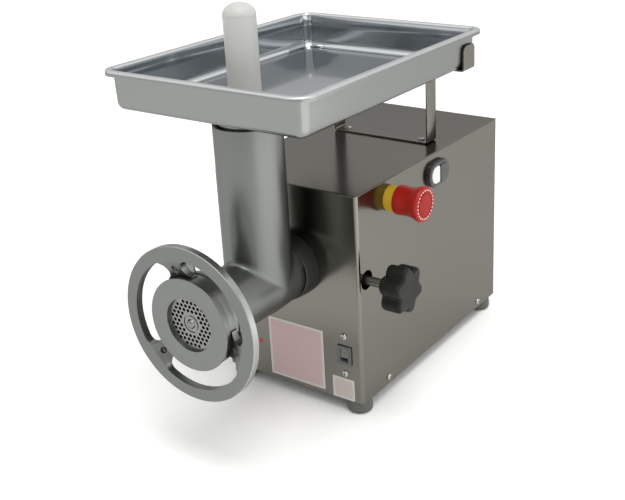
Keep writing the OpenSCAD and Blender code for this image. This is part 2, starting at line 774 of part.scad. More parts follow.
module terminal_block() {
    color("#d9d4c2") placed() difference() {
        block([10, 240, sheet + 0.1], [10 + ways * 11, 262, 22]);
        for (i = [0 : ways - 1]) translate([15.5 + i * 11, 251, 12]) cylinder(r = 3.2, h = 11);
    }
}

// ---- Grinding head ----

plate_front = -(nut_out - 4);
plate_back = plate_front + plate_t;
thread_r = 39.45;
head_front = plate_back - 4;
collar_gap_y = -26;
bearing_wall = [-31, -17];
shank_r = 14;

module head_body() {
    color(cast) placed() difference() {
        union() {
            y_turned([
                [0, head_front], [thread_r, head_front], [thread_r, -133], [37.5, -130.5],
                [barrel_r + 0.6, -127], [barrel_r, -122], [barrel_r, collar_gap_y - 2],
                [socket_r - 0.2, collar_gap_y], [socket_r - 0.2, -12.2], [spigot_r, -12.2],
                [spigot_r, spigot_in - 1], [spigot_r - 1, spigot_in], [0, spigot_in]]);
            translate([0, -tube_out, axis_z]) cylinder(r = tube_r, h = tube_top - axis_z);
            // Swelling under the tube, a little fuller than the barrel
            intersection() {
                y_rod(tube_r - 0.3, -tube_out - tube_r - 1, -tube_out + tube_r + 1);
                translate([0, -tube_out, axis_z - tube_r]) cylinder(r = tube_r, h = tube_r + 1);
            }
        }
        // Seat of the plate, chamber of the auger, bore of the shank and the hollow of the spigot
        y_rod(plate_r + 0.05, head_front - 1, plate_back + 0.02);
        y_rod(chamber_r, plate_back - 1, bearing_wall[0]);
        y_rod(shank_r + fit, bearing_wall[0] - 1, bearing_wall[1] + 1);
        y_rod(20, bearing_wall[1], spigot_in + 1);
        translate([0, -tube_out, axis_z]) cylinder(r = chamber_r - 1, h = tube_top);
        translate([0, -tube_out, axis_z + barrel_r]) cylinder(r = throat_r, h = tube_top);
        translate([0, -tube_out, spigot_low - gap]) cylinder(r = throat_r + tray_t + 0.9, h = tube_top);
        // Flat for the clamp's pad, and the slot of the plate's key
        block([flat_x, clamp_y - 9, clamp_z - 9], [spigot_r + 2, spigot_in + 1, clamp_z + 9]);
        block([-3.1, head_front - 1, axis_z + plate_r - 3], [3.1, plate_back + 0.02, axis_z + plate_r + 2]);
    }
}

flight_pitch = 36;
flight_half = 24;
flight_from = plate_back + 8;
flight_to = bearing_wall[0] - 1;
core_r = 9;
flight_r = chamber_r - 1;
module auger() {
    length = flight_to - flight_from;
    color(machined) placed() {
        y_rod(core_r, flight_from, bearing_wall[0] - 0.9);
        y_turned([[0, bearing_wall[0] - 4], [core_r, bearing_wall[0] - 4],
            [shank_r + 5, bearing_wall[0] - 0.4], [shank_r, bearing_wall[0] - 0.4],
            [shank_r, bearing_wall[1] + 6], [0, bearing_wall[1] + 6]]);
        block([-tang / 2, bearing_wall[1] + 5, axis_z - tang / 2], [tang / 2, 17, axis_z + tang / 2]);
        translate([0, flight_to, axis_z]) rotate([90, 0, 0])
            linear_extrude(length, twist = -360 * length / flight_pitch, slices = 60, $fn = 8)
            polygon(concat(
                [for (a = [-flight_half : 8 : flight_half]) flight_r * [cos(a), sin(a)]],
                [for (a = [flight_half : -16 : -flight_half]) (core_r - 3) * [cos(a), sin(a)]]));
        // Square for the knife, and the domed pin that runs in the plate
        block([-6, plate_back + 0.3, axis_z - 6], [6, flight_from + 1, axis_z + 6]);
        y_turned([[0, plate_front - 2.6], [2.2, plate_front - 2.3], [3.9, plate_front - 1.2],
            [5, plate_front + 0.6], [5, plate_back + 0.4], [0, plate_back + 0.4]]);
    }
}

// Four-armed knife on the auger's square
module knife() {
    arm = chamber_r - 1.5;
    color(machined) placed() difference() {
        union() {
            y_rod(12, plate_back + 0.3, plate_back + 7.5);
            for (a = [0 : 90 : 270]) translate([0, 0, axis_z]) rotate([0, a + 20, 0])
                block([0, plate_back + 0.3, -4], [arm, plate_back + 6, 3]);
        }
        block([-6.1, plate_back, axis_z - 6.1], [6.1, plate_back + 9, axis_z + 6.1]);
    }
}

// Staggered rows of holes between the plate's hub and its rim
hole_inner = 12;
hole_outer = 25;
rows = ceil(hole_outer / (plate_pitch * 0.866));
module grinding_plate() {
    color(bright_steel) placed() {
        difference() {
            y_rod(plate_r, plate_front, plate_back);
            y_rod(5.05, plate_front - 1, plate_back + 1);
            y_rod(9.5, plate_front - 1, plate_front + 1);
            for (row = [-rows : rows], i = [-rows - 1 : rows + 1]) {
                p = plate_pitch * [i + row / 2 - floor(row / 2), row * 0.866];
                if (norm(p) > hole_inner && norm(p) < hole_outer)
                    y_rod(plate_hole_r, plate_front - 1, plate_back + 1, p.x, axis_z + p.y);
            }
        }
        difference() {
            y_rod(8, plate_front, plate_front + 2);
            y_rod(5.05, plate_front - 1, plate_front + 3);
        }
        block([-3, head_front + 0.3, axis_z + plate_r - 1], [3, plate_back - 0.2, axis_z + plate_r + 1.6]);
    }
}

nut_back = -134;
nut_back_r = 44.6;
seat_r = 47.8;
seat_y = [-(nut_out - dish) - 0.6, -(nut_out - dish) + rim_t - 0.2];
bore_r = seat_r + 0.1;
rim_in = wheel_r - rim_w - 2.5;
// How far a spoke's face has come forward at a radius, counted from the bore
function spoke_rise(r) = dish * (r - bore_r) / (rim_in - bore_r);
nut_bore = thread_r + fit;
spoke_angles = [for (i = [0 : 2]) spoke_at + i * 120];
wheel_screw_r = 57.5;

// Tapered ring nut: a front flange, a lip that holds the plate and a threaded skirt
module ring_nut() {
    color(cast) placed() y_turned([
        [nut_open_r, -nut_out], [nut_r - 1, -nut_out], [nut_r, 1 - nut_out], [seat_r, seat_y[0]],
        [seat_r, clamp_low - fit], [groove_r, clamp_low - fit], [groove_r, clamp_high + fit],
        [groove_taper_r, clamp_high + fit], [nut_back_r, nut_back], [nut_bore, nut_back],
        [nut_bore, plate_front - fit], [nut_open_r, plate_front - fit]]);
}

// Three small clamps behind the spokes; their feet stand in the nut's groove and hold the wheel on it
clamp_low = seat_y[1];
clamp_high = clamp_low + 6;
groove_r = 45.6;
groove_taper_r = seat_r - (seat_r - nut_back_r) * (clamp_high - seat_y[1]) / (nut_back - seat_y[1]);
module wheel_clamps() {
    color(cast) placed() for (a = spoke_angles) translate([0, 0, axis_z]) rotate([0, -a, 0]) difference() {
        translate([0, 0, -8]) linear_extrude(16) polygon([
            [groove_r + gap, clamp_low], [bore_r + 0.6, clamp_low], [63, clamp_low - spoke_rise(63) + 0.4],
            [63, clamp_high], [groove_r + gap, clamp_high]]);
        y_rod(groove_r + gap, clamp_low - 20, clamp_high + 1, 0, 0);
        translate([wheel_screw_r, 0, 0]) y_rod(screw_r + 0.05, -nut_out, -100, 0, 0);
    }
}

slot_mid_r = (wheel_r - rim_w + seat_r + 1.6) / 2;
slot_half_w = wheel_r - rim_w - slot_mid_r;
// Flat shape of one slot, which opens into the wheel's bore
module slot(from, to) {
    reach = 2 * wheel_r;
    mid = (from + to) / 2;
    intersection() {
        circle(r = wheel_r - rim_w);
        union() {
            polygon([[0, 0], reach * [cos(from), sin(from)],
                reach * [cos(mid), sin(mid)], reach * [cos(to), sin(to)]]);
            for (a = [from, to]) rotate(a) translate([slot_mid_r, 0]) circle(r = slot_half_w + 0.4);
        }
    }
}
// Dished wheel: a flat rim and three spokes that run back to the ring nut
module handwheel() {
    front = -wheel_front;
    color(cast) placed() difference() {
        y_turned([
            [bore_r, front + dish], [rim_in, front], [wheel_r - 1.2, front], [wheel_r, front + 1.2],
            [wheel_r, front + rim_t - 1.2], [wheel_r - 1.2, front + rim_t], [rim_in, front + rim_t],
            [bore_r, front + rim_t + dish - 0.4]]);
        translate([0, -nut_out + 30, axis_z]) rotate([90, 0, 0]) linear_extrude(40) for (a = spoke_angles)
            slot(a + spoke_half, a + 120 - spoke_half);
        for (a = spoke_angles) translate([0, 0, axis_z])
            rotate([0, -a, 0]) translate([wheel_screw_r, 0, 0]) {
            y_rod(screw_r + 0.1, -nut_out - 5, -140, 0, 0);
            // Flat spot under the screw's head
            y_rod(3.4, -nut_out - 5, spot_y, 0, 0);
        }
    }
}
spot_y = -wheel_front + dish - spoke_rise(wheel_screw_r) + 1.4;
module wheel_screws() {
    color("#55564f") placed() for (a = spoke_angles) translate([0, 0, axis_z]) rotate([0, -a, 0])
        translate([wheel_screw_r, spot_y, 0]) rotate([90, 0, 0]) pan_screw(3, clamp_high - spot_y - 0.5);
}

// ---- Tray and pusher ----

tray_wall_x = tray_hw - tray_lip;
tray_slope = 1;
rim_corner = 20;
throat_r = 29.9;
spigot_low = 315;
// A slab of the tray: its flat outline inset from the wall's top, between two heights
module tray_level(inset, r, z) {
    translate([0, 0, z]) linear_extrude(0.01) rounded_sheet($fn = 32,
        [-tray_wall_x + inset, -tray_front + tray_lip + inset],
        [tray_wall_x - inset, tray_back - tray_lip - inset], r);
}
module tray() {
    color(bright_steel) placed() difference() {
        union() {
            hull() {
                tray_level(tray_slope + 5, 6, tray_low);
                tray_level(tray_slope + 1.5, 9.5, tray_low + 1.5);
                tray_level(tray_slope, 11, tray_low + 5);
                tray_level(0, 12, tray_top - 1);
            }
            // Rolled rim
            translate([0, 0, tray_top - 5]) linear_extrude(5) rounded_sheet(
                [-tray_hw, -tray_front], [tray_hw, tray_back], rim_corner);
            translate([0, -tube_out, spigot_low])
                cylinder(r = throat_r + tray_t, h = tray_low - spigot_low + 2);
        }
        hull() {
            tray_level(tray_slope + 5 + tray_t, 5, tray_low + tray_t);
            tray_level(tray_slope + 1.5 + tray_t, 8.5, tray_low + 1.5 + tray_t);
            tray_level(tray_slope + tray_t, 10, tray_low + 5 + tray_t);
            tray_level(tray_t, 11, tray_top + 1);
        }
        // Hollow underside of the rolled rim
        translate([0, 0, tray_top - 6]) linear_extrude(4.6) difference() {
            rounded_sheet([-tray_hw + tray_t, -tray_front + tray_t],
                [tray_hw - tray_t, tray_back - tray_t], rim_corner - 1);
            rounded_sheet([-tray_wall_x - 0.2, -tray_front + tray_lip - 0.2],
                [tray_wall_x + 0.2, tray_back - tray_lip + 0.2], 12.2);
        }
        translate([0, -tube_out, spigot_low - 1]) cylinder(r = throat_r, h = 50);
    }
}

plunger_r = 26;
plunger_low = 232;
module pusher() {
    color("#e4e4e0") placed() translate([0, -tube_out, 0]) rotate_extrude() polygon(concat(
        [[0, plunger_low], [plunger_r - 2, plunger_low], [plunger_r, plunger_low + 2],
            [plunger_r, plunger_low + 34], [plunger_r - 3, plunger_low + 38], [pusher_r, plunger_low + 42]],
        [for (a = [0 : 10 : 90]) [pusher_r * cos(a), pusher_top - 12 + 12 * sin(a)]]));
}

// ---- Cable entry ----

cable_r = 4;
module cable_gland() {
    color(dark_plastic) placed() difference() {
        union() {
            y_rod(8, case_d - 12, case_d + 1, gland_x, gland_z);
            translate([gland_x, case_d + 5, gland_z]) rotate([90, 0, 0]) cylinder(r = 12, h = 5, $fn = 6);
            y_turned([[0, case_d + 4], [10, case_d + 4], [10, case_d + 10], [7.5, case_d + gland_out],
                [0, case_d + gland_out]], gland_x, gland_z);
            translate([gland_x, case_d - 2, gland_z]) rotate([90, 0, 0]) cylinder(r = 12, h = 4, $fn = 6);
        }
        y_rod(cable_r, case_d - 13, case_d + gland_out + 1, gland_x, gland_z);
    }
}

cabinet_shell();
rear_cover();
base_plate();
foot_front_left();
foot_front_right();
foot_back_left();
foot_back_right();
case_screws();
bracket_frame();
tray_cradle();
bracket_screws();
large_label();
small_label();
pilot_lens();
selector_frame();
selector_slider();
selector_screws();
stop_collar();
stop_stem();
stop_head();
stop_contacts();
button_housing();
start_cap();
off_cap();
start_contacts();
control_nuts();
clamp_pad();
clamp_screw();
star_knob();
drive_socket();
front_collar();
gearbox_housing();
gearbox_cover();
gearbox_bolts();
output_shaft();
output_gear();
intermediate_shaft();
intermediate_gear();
output_bearings();
intermediate_bearings();
oil_seal();
motor_stator();
motor_end_bell();
motor_shaft();
motor_rotor();
motor_bearings();
cooling_fan();
capacitor();
terminal_block();
head_body();
auger();
knife();
grinding_plate();
ring_nut();
handwheel();
wheel_clamps();
wheel_screws();
tray();
pusher();
cable_gland();
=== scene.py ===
import math

import bmesh
import bpy
from mathutils import Matrix, Vector


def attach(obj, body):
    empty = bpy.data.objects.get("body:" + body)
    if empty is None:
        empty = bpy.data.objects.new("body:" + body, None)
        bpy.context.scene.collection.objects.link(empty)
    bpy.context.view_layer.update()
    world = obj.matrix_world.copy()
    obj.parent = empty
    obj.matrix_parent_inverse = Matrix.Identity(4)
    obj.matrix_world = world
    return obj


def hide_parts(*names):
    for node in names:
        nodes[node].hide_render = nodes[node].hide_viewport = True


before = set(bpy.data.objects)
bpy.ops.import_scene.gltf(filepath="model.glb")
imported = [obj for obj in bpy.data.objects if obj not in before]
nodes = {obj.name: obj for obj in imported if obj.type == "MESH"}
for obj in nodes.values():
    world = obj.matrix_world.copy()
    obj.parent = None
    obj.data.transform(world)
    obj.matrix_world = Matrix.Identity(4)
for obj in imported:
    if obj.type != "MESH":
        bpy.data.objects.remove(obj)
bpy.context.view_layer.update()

# ---- Cabinet shell ----
# One sheet of 1.5 mm satin stainless steel, folded at the front corners, with the top welded on and its edges
# dressed round. It has cut-outs for the drive socket, the clamp stem and the switches.

# Sizes are in millimetres from the grinding axis (x), the cabinet's front (y) and its underside (z)
MACHINE = Matrix.Translation((-0.008, -0.08475, 0.0155)) @ Matrix.Scale(0.001, 4)
LEFT, RIGHT, DEPTH, HEIGHT, SHEET = -102.0, 88.0, 320.0, 245.0, 1.5
AXIS_Z = 152.0
FRONT_FOLD_R, TOP_EDGE_R = 3.5, 1.3
# Centres of what passes through the shell or is screwed to it
CLAMP_Y, CLAMP_Z = 15.0, 146.0
STOP_Y, STOP_Z = 64.5, 223.0
START_Y, START_Z = 166.0, 220.5
SIDE_SCREW_Y, SIDE_SCREW_Z = (54, 274), 8
BRACKET_Y, BRACKET_SCREW_X = 195.5, (-52, 52)
PILOT_X, PILOT_Z = -52.8, 42
SELECTOR_X, SELECTOR_SCREW_Z = 65.5, (33, 79)
SELECTOR_HOLE_X, SELECTOR_HOLE_Z = (58.5, 72.5), (47, 65)
SOCKET_HOLE_R, CLAMP_HOLE_R, BUTTON_HOLE_R, SCREW_HOLE_R = 34.2, 10.9, 11.1, 2.2
# Area in square metres above which a many-sided face counts as a wide flat one
WIDE_FACE = 0.0002


def finished(name, bm, body, finish, stands_for=(), crease=32):
    """Brings a shape drawn in millimetres to the row's place and scale, and hands it over as a piece."""
    bm.transform(MACHINE)
    mesh = bpy.data.meshes.new(name)
    bm.to_mesh(mesh)
    bm.free()
    mesh.shade_smooth()
    mesh.set_sharp_from_angle(angle=math.radians(crease))
    # A wide flat face keeps its own normal, so that a small rounding beside it doesn't shade it
    for face in mesh.polygons:
        if len(face.vertices) > 4 and face.area > WIDE_FACE:
            face.use_smooth = False
    for coat in finish if isinstance(finish, (list, tuple)) else [finish]:
        mesh.materials.append(coat)
    made = bpy.data.objects.new(name, mesh)
    bpy.context.scene.collection.objects.link(made)
    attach(made, body)
    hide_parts(*stands_for)


def block(low, high):
    """A box between two corners."""
    low, high = Vector(low), Vector(high)
    bm = bmesh.new()
    bmesh.ops.create_cube(bm, size=1.0)
    bmesh.ops.scale(bm, vec=high - low, verts=bm.verts)
    bmesh.ops.translate(bm, vec=(low + high) / 2, verts=bm.verts)
    return bm


def softened(bm, edges, width, segments=3):
    """Rounds edges with a small radius, as a file or a die leaves them."""
    bmesh.ops.bevel(bm, geom=list(edges), offset=width, offset_type="OFFSET", segments=segments, profile=0.5,
                    affect="EDGES", clamp_overlap=True, material=-1)
    return bm


def rod(radius, start, end, steps=64):
    """A closed round bar between two points."""
    start, end = Vector(start), Vector(end)
    turn = (end - start).to_track_quat("Z", "Y").to_matrix().to_4x4()
    bm = bmesh.new()
    bmesh.ops.create_cone(bm, cap_ends=True, segments=steps, radius1=radius, radius2=radius,
                          depth=(end - start).length, matrix=Matrix.Translation((start + end) / 2) @ turn)
    return bm


def gathered(*shapes):
    """Puts separate shapes together in one mesh."""
    kept = shapes[0]
    for shape in shapes[1:]:
        mesh = bpy.data.meshes.new("blank")
        shape.to_mesh(mesh)
        shape.free()
        kept.from_mesh(mesh)
        bpy.data.meshes.remove(mesh)
    return kept


def carved(bm, tool, how="DIFFERENCE"):
    """Cuts a closed shape with another closed shape, or joins the two."""
    made = []
    for shape in (bm, tool):
        mesh = bpy.data.meshes.new("blank")
        shape.to_mesh(mesh)
        shape.free()
        made.append(bpy.data.objects.new("blank", mesh))
        bpy.context.scene.collection.objects.link(made[-1])
    cut = made[0].modifiers.new("cut", "BOOLEAN")
    cut.operation, cut.solver, cut.object = how, "EXACT", made[1]
    bpy.context.view_layer.update()
    result = bmesh.new()
    result.from_object(made[0], bpy.context.evaluated_depsgraph_get())
    for spent in made:
        mesh = spent.data
        bpy.data.objects.remove(spent)
        bpy.data.meshes.remove(mesh)
    bmesh.ops.remove_doubles(result, verts=result.verts, dist=0.001)
    return result


def metal(name, colour, roughness, grain, streak=0.06, cloud=0.05, depth=0.00002, spread=0.05, edge=0.6):
    """Worked metal: fine grain along one direction, soft cloudy patches and an uneven polish."""
    coat = bpy.data.materials.new(name)
    coat.use_nodes = True
    tree = coat.node_tree
    shader = tree.nodes["Principled BSDF"]
    shader.inputs["Metallic"].default_value = 1.0
    shader.inputs["Specular Tint"].default_value = (edge, edge, edge, 1)
    place = tree.nodes.new("ShaderNodeTexCoord")
    comb = tree.nodes.new("ShaderNodeMapping")
    comb.inputs["Scale"].default_value = grain
    tree.links.new(place.outputs["Object"], comb.inputs["Vector"])
    lines = tree.nodes.new("ShaderNodeTexNoise")
    lines.inputs["Scale"].default_value = 1.0
    lines.inputs["Detail"].default_value = 5.0
    lines.inputs["Roughness"].default_value = 0.65
    tree.links.new(comb.outputs["Vector"], lines.inputs["Vector"])
    patches = tree.nodes.new("ShaderNodeTexNoise")
    patches.inputs["Scale"].default_value = 17.0
    patches.inputs["Detail"].default_value = 4.0
    tree.links.new(place.outputs["Object"], patches.inputs["Vector"])
    blend = tree.nodes.new("ShaderNodeMix")
    amount = streak + cloud
    blend.inputs["Factor"].default_value = cloud / amount
    tree.links.new(lines.outputs["Fac"], blend.inputs["A"])
    tree.links.new(patches.outputs["Fac"], blend.inputs["B"])
    tone = tree.nodes.new("ShaderNodeMix")
    tone.data_type = "RGBA"
    tone.inputs["A"].default_value = (*[c * (1 - amount) for c in colour], 1)
    tone.inputs["B"].default_value = (*[c * (1 + amount) for c in colour], 1)
    tree.links.new(blend.outputs["Result"], tone.inputs["Factor"])
    tree.links.new(tone.outputs["Result"], shader.inputs["Base Color"])
    polish = tree.nodes.new("ShaderNodeMapRange")
    polish.inputs["From Min"].default_value = 0.3
    polish.inputs["From Max"].default_value = 0.7
    polish.inputs["To Min"].default_value = max(0.02, roughness - spread)
    polish.inputs["To Max"].default_value = roughness + spread
    tree.links.new(blend.outputs["Result"], polish.inputs["Value"])
    tree.links.new(polish.outputs["Result"], shader.inputs["Roughness"])
    relief = tree.nodes.new("ShaderNodeBump")
    relief.inputs["Strength"].default_value = 0.35
    relief.inputs["Distance"].default_value = depth
    tree.links.new(lines.outputs["Fac"], relief.inputs["Height"])
    tree.links.new(relief.outputs["Normal"], shader.inputs["Normal"])
    return coat


cabinet_steel = metal("satin_cabinet_steel", (0.190, 0.184, 0.163), 0.19, (700, 700, 9), streak=0.022,
                      cloud=0.03, depth=0.000003, spread=0.02)

shell = block((LEFT, 0, 0), (RIGHT, DEPTH - SHEET, HEIGHT))
shell.normal_update()
open_sides = [f for f in shell.faces if f.normal.z < -0.9 or f.normal.y > 0.9]
bmesh.ops.delete(shell, geom=open_sides, context="FACES")
softened(shell, [e for e in shell.edges if all(v.co.y < 1 for v in e.verts)
                 and abs(e.verts[0].co.z - e.verts[1].co.z) > 1], FRONT_FOLD_R, 6)
softened(shell, [e for e in shell.edges if all(v.co.z > HEIGHT - 0.1 for v in e.verts)
                 and len(e.link_faces) == 2], TOP_EDGE_R, 4)
bmesh.ops.recalc_face_normals(shell, faces=shell.faces)
bmesh.ops.solidify(shell, geom=shell.faces, thickness=SHEET)
bmesh.ops.recalc_face_normals(shell, faces=shell.faces)
screw_holes = [rod(SCREW_HOLE_R, (LEFT - 2, y, SIDE_SCREW_Z), (RIGHT + 2, y, SIDE_SCREW_Z), 24)
               for y in SIDE_SCREW_Y]
screw_holes += [rod(SCREW_HOLE_R, (x, BRACKET_Y, HEIGHT - 4), (x, BRACKET_Y, HEIGHT + 3), 24)
                for x in BRACKET_SCREW_X]
screw_holes += [rod(SCREW_HOLE_R, (x, -3, z), (x, 6, z), 24)
                for x, z in ((PILOT_X, PILOT_Z), *[(SELECTOR_X, z) for z in SELECTOR_SCREW_Z])]
shell = carved(shell, gathered(
    rod(SOCKET_HOLE_R, (0, -3, AXIS_Z), (0, 6, AXIS_Z), 96),
    rod(CLAMP_HOLE_R, (RIGHT - 4, CLAMP_Y, CLAMP_Z), (RIGHT + 3, CLAMP_Y, CLAMP_Z)),
    rod(BUTTON_HOLE_R, (RIGHT - 4, STOP_Y, STOP_Z), (RIGHT + 3, STOP_Y, STOP_Z)),
    rod(BUTTON_HOLE_R, (RIGHT - 4, START_Y, START_Z), (RIGHT + 3, START_Y, START_Z)),
    block((SELECTOR_HOLE_X[0], -3, SELECTOR_HOLE_Z[0]), (SELECTOR_HOLE_X[1], 6, SELECTOR_HOLE_Z[1])),
    *screw_holes))
finished("cabinet_shell_skin", shell, "machine", cabinet_steel, ["cabinet_shell"])

# ---- Base plate and back cover ----
# The base is a folded stainless tray that the feet and motor stand on. The back cover is a flat panel with
# pressed vents, held by six pan-head screws; their edges are only deburred.


def deburred(node, width=0.25, crease=25, segments=2):
    """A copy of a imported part, in millimetres, with its sharp edges broken."""
    bm = bmesh.new()
    bm.from_mesh(nodes[node].data)
    bm.transform(MACHINE.inverted())
    bmesh.ops.remove_doubles(bm, verts=bm.verts, dist=0.002)
    bmesh.ops.dissolve_limit(bm, angle_limit=math.radians(0.5), verts=bm.verts, edges=bm.edges)
    sharp = [e for e in bm.edges if len(e.link_faces) == 2 and e.calc_face_angle() > math.radians(crease)]
    return softened(bm, sharp, width, segments)


finished("base_plate_tray", deburred("base_plate"), "machine", cabinet_steel,
         ["base_plate"], 20)
finished("back_cover_panel", deburred("rear_cover"), "machine", cabinet_steel,
         ["rear_cover"], 20)

# ---- Rubber feet ----
# Four moulded black rubber feet with a rounded tread, each bonded to a steel stud.
# The stud is nutted through the base.


def turned(outline, foot, along, steps=96, corner_steps=4):
    """Spins an outline of (radius, distance, optional corner rounding) about an axis that starts at foot."""
    foot, along = Vector(foot), Vector(along).normalized()
    out = Vector((1, 0, 0)) if abs(along.x) < 0.5 else Vector((0, 0, 1))
    out = (out - along * out.dot(along)).normalized()
    bm = bmesh.new()
    line = [bm.verts.new(foot + out * point[0] + along * point[1]) for point in outline]
    for pair in zip(line, line[1:]):
        bm.edges.new(pair)
    if outline[0][0] > 0:
        bm.edges.new((line[-1], line[0]))
    for size in sorted({point[2] for point in outline if len(point) > 2}):
        corners = [vert for vert, point in zip(line, outline) if len(point) > 2 and point[2] == size]
        bmesh.ops.bevel(bm, geom=corners, offset=size, offset_type="OFFSET", segments=corner_steps,
                        profile=0.5, affect="VERTICES", clamp_overlap=True, material=-1)
    bmesh.ops.spin(bm, geom=bm.verts[:] + bm.edges[:], cent=foot, axis=along, angle=math.tau, steps=steps,
                   use_merge=True)
    bmesh.ops.remove_doubles(bm, verts=bm.verts, dist=0.0005)
    bmesh.ops.recalc_face_normals(bm, faces=bm.faces)
    return bm


def moulded(name, colour, roughness, pit=1400.0, depth=0.00003, tint=0.06, spread=0.05, coat_weight=0.0,
            gloss=0.5):
    """Moulded plastic or rubber: a fine skin texture, faint cloudiness and an uneven gloss."""
    skin = bpy.data.materials.new(name)
    skin.use_nodes = True
    tree = skin.node_tree
    shader = tree.nodes["Principled BSDF"]
    shader.inputs["Coat Weight"].default_value = coat_weight
    shader.inputs["Specular IOR Level"].default_value = gloss
    place = tree.nodes.new("ShaderNodeTexCoord")
    pits = tree.nodes.new("ShaderNodeTexNoise")
    pits.inputs["Scale"].default_value = pit
    pits.inputs["Detail"].default_value = 3.0
    clouds = tree.nodes.new("ShaderNodeTexNoise")
    clouds.inputs["Scale"].default_value = 60.0
    clouds.inputs["Detail"].default_value = 4.0
    for texture in (pits, clouds):
        tree.links.new(place.outputs["Object"], texture.inputs["Vector"])
    tone = tree.nodes.new("ShaderNodeMix")
    tone.data_type = "RGBA"
    tone.inputs["A"].default_value = (*[c * (1 - tint) for c in colour], 1)
    tone.inputs["B"].default_value = (*[min(1, c * (1 + tint)) for c in colour], 1)
    tree.links.new(clouds.outputs["Fac"], tone.inputs["Factor"])
    tree.links.new(tone.outputs["Result"], shader.inputs["Base Color"])
    polish = tree.nodes.new("ShaderNodeMapRange")
    polish.inputs["From Min"].default_value = 0.3
    polish.inputs["From Max"].default_value = 0.7
    polish.inputs["To Min"].default_value = roughness - spread
    polish.inputs["To Max"].default_value = roughness + spread
    tree.links.new(clouds.outputs["Fac"], polish.inputs["Value"])
    tree.links.new(polish.outputs["Result"], shader.inputs["Roughness"])
    relief = tree.nodes.new("ShaderNodeBump")
    relief.inputs["Strength"].default_value = 0.5
    relief.inputs["Distance"].default_value = depth
    tree.links.new(pits.outputs["Fac"], relief.inputs["Height"])
    tree.links.new(relief.outputs["Normal"], shader.inputs["Normal"])
    return skin


foot_rubber = moulded("black_foot_rubber", (0.085, 0.088, 0.074), 0.6, pit=900.0, depth=0.00006)
# How far a foot's centre stands in from the cabinet's outside
FOOT_INSET, BACK_FOOT_INSET = 13.5, 17.5
foot_line = [(0, -15.5), (9.5, -15.5, 0.4), (10, -14.9, 0.3), (13.1, -15.1, 1.6), (14.5, -11.8, 1.8),
             (13.6, -0.4, 0.6), (3, -0.4), (3, 8), (0, 8)]
for side, x in (("left", LEFT + FOOT_INSET), ("right", RIGHT - FOOT_INSET)):
    for end, y in (("front", FOOT_INSET), ("back", DEPTH - BACK_FOOT_INSET)):
        rubber = turned(foot_line, (x, y, 0), (0, 0, 1), 64)
        finished(f"foot_{end}_{side}_rubber", rubber, "machine", foot_rubber,
                 [f"foot_{end}_{side}"])

# ---- Cabinet screws ----
# Pan-head stainless screws with a cross recess: two low on each side hold the base, six hold the back cover.
# Their heads stand on the sheet and their shanks reach through it.

screw_steel = metal("turned_screw_steel", (0.46, 0.45, 0.43), 0.26, (420, 420, 420), depth=0.00001)


def pan_screws(places, radius=4.0, shank=7.0):
    """Pan heads with cross recesses; each place is (seat point, outward direction)."""
    heads, recesses = [], []
    for seat, out in places:
        out = Vector(out)
        heads.append(turned([(0, 2.3), (radius * 0.55, 2.2, 0.6), (radius * 0.85, 1.7, 0.6),
                             (radius, 0.7, 0.5), (radius, 0, 0.1), (radius * 0.48, 0),
                             (radius * 0.48, -shank), (0, -shank)], seat, out, 40))
        side = out.orthogonal().normalized().lerp(out.cross(out.orthogonal()).normalized(), 0.5).normalized()
        for arm in (side, out.cross(side)):
            turn = Matrix((arm, out.cross(arm), out)).transposed().to_4x4()
            bar = block((-radius * 0.55, -radius * 0.11, 0.9), (radius * 0.55, radius * 0.11, 4))
            bar.transform(Matrix.Translation(seat) @ turn)
            recesses.append(bar)
    tool = recesses[0]
    for other in recesses[1:]:
        tool = carved(tool, other, "UNION")
    return carved(gathered(*heads), tool)


side_places = [((x, y, SIDE_SCREW_Z), (out, 0, 0)) for x, out in ((RIGHT, 1), (LEFT, -1))
               for y in SIDE_SCREW_Y]
BACK_SCREW_IN, BACK_SCREW_Z = 8, (10, HEIGHT / 2, HEIGHT - 10)
back_places = [((x, DEPTH, z), (0, 1, 0)) for x in (LEFT + BACK_SCREW_IN, RIGHT - BACK_SCREW_IN)
               for z in BACK_SCREW_Z]
finished("case_screw_set", pan_screws(side_places + back_places), "machine", screw_steel,
         ["case_screws"])
# ---- Tray bracket ----
# Two 2 mm stainless strips. One, 21 mm wide, is bent into an open frame and screwed to the cabinet's top. The
# other, 25 mm wide, lies on it, carries the tray and has its round-cornered ends turned up beside the tray.

STRIP, STRIP_SHEET, STRIP_EDGE_R = 21.0, 2.0, 0.35
FRAME_HALF, FRAME_TOP, LEDGE = 66.0, 339.68, 50.0
CRADLE_HALF, CRADLE_LOW, CRADLE_TOP, CRADLE_WIDTH, CRADLE_BACK = 120.4, 339.7, 368.5, 25.0, 198


def pressed(outline, across, up, at, depth, corner_steps=5):
    """A flat outline of (x, y, optional corner rounding), given a depth along across x up."""
    across, up = Vector(across), Vector(up)
    bm = bmesh.new()
    corners = [bm.verts.new((point[0], point[1], 0)) for point in outline]
    bm.faces.new(corners)
    for size in sorted({point[2] for point in outline if len(point) > 2}):
        rounded = [vert for vert, point in zip(corners, outline) if len(point) > 2 and point[2] == size]
        bmesh.ops.bevel(bm, geom=rounded, offset=size * 0.9999, offset_type="OFFSET", segments=corner_steps,
                        profile=0.5, affect="VERTICES", clamp_overlap=True, material=-1)
    made = bmesh.ops.extrude_face_region(bm, geom=bm.faces[:])
    far_verts = [g for g in made["geom"] if isinstance(g, bmesh.types.BMVert)]
    bmesh.ops.translate(bm, vec=(0, 0, depth), verts=far_verts)
    turn = Matrix((across, up, across.cross(up))).transposed().to_4x4()
    bm.transform(Matrix.Translation(at) @ turn)
    bmesh.ops.recalc_face_normals(bm, faces=bm.faces)
    return bm


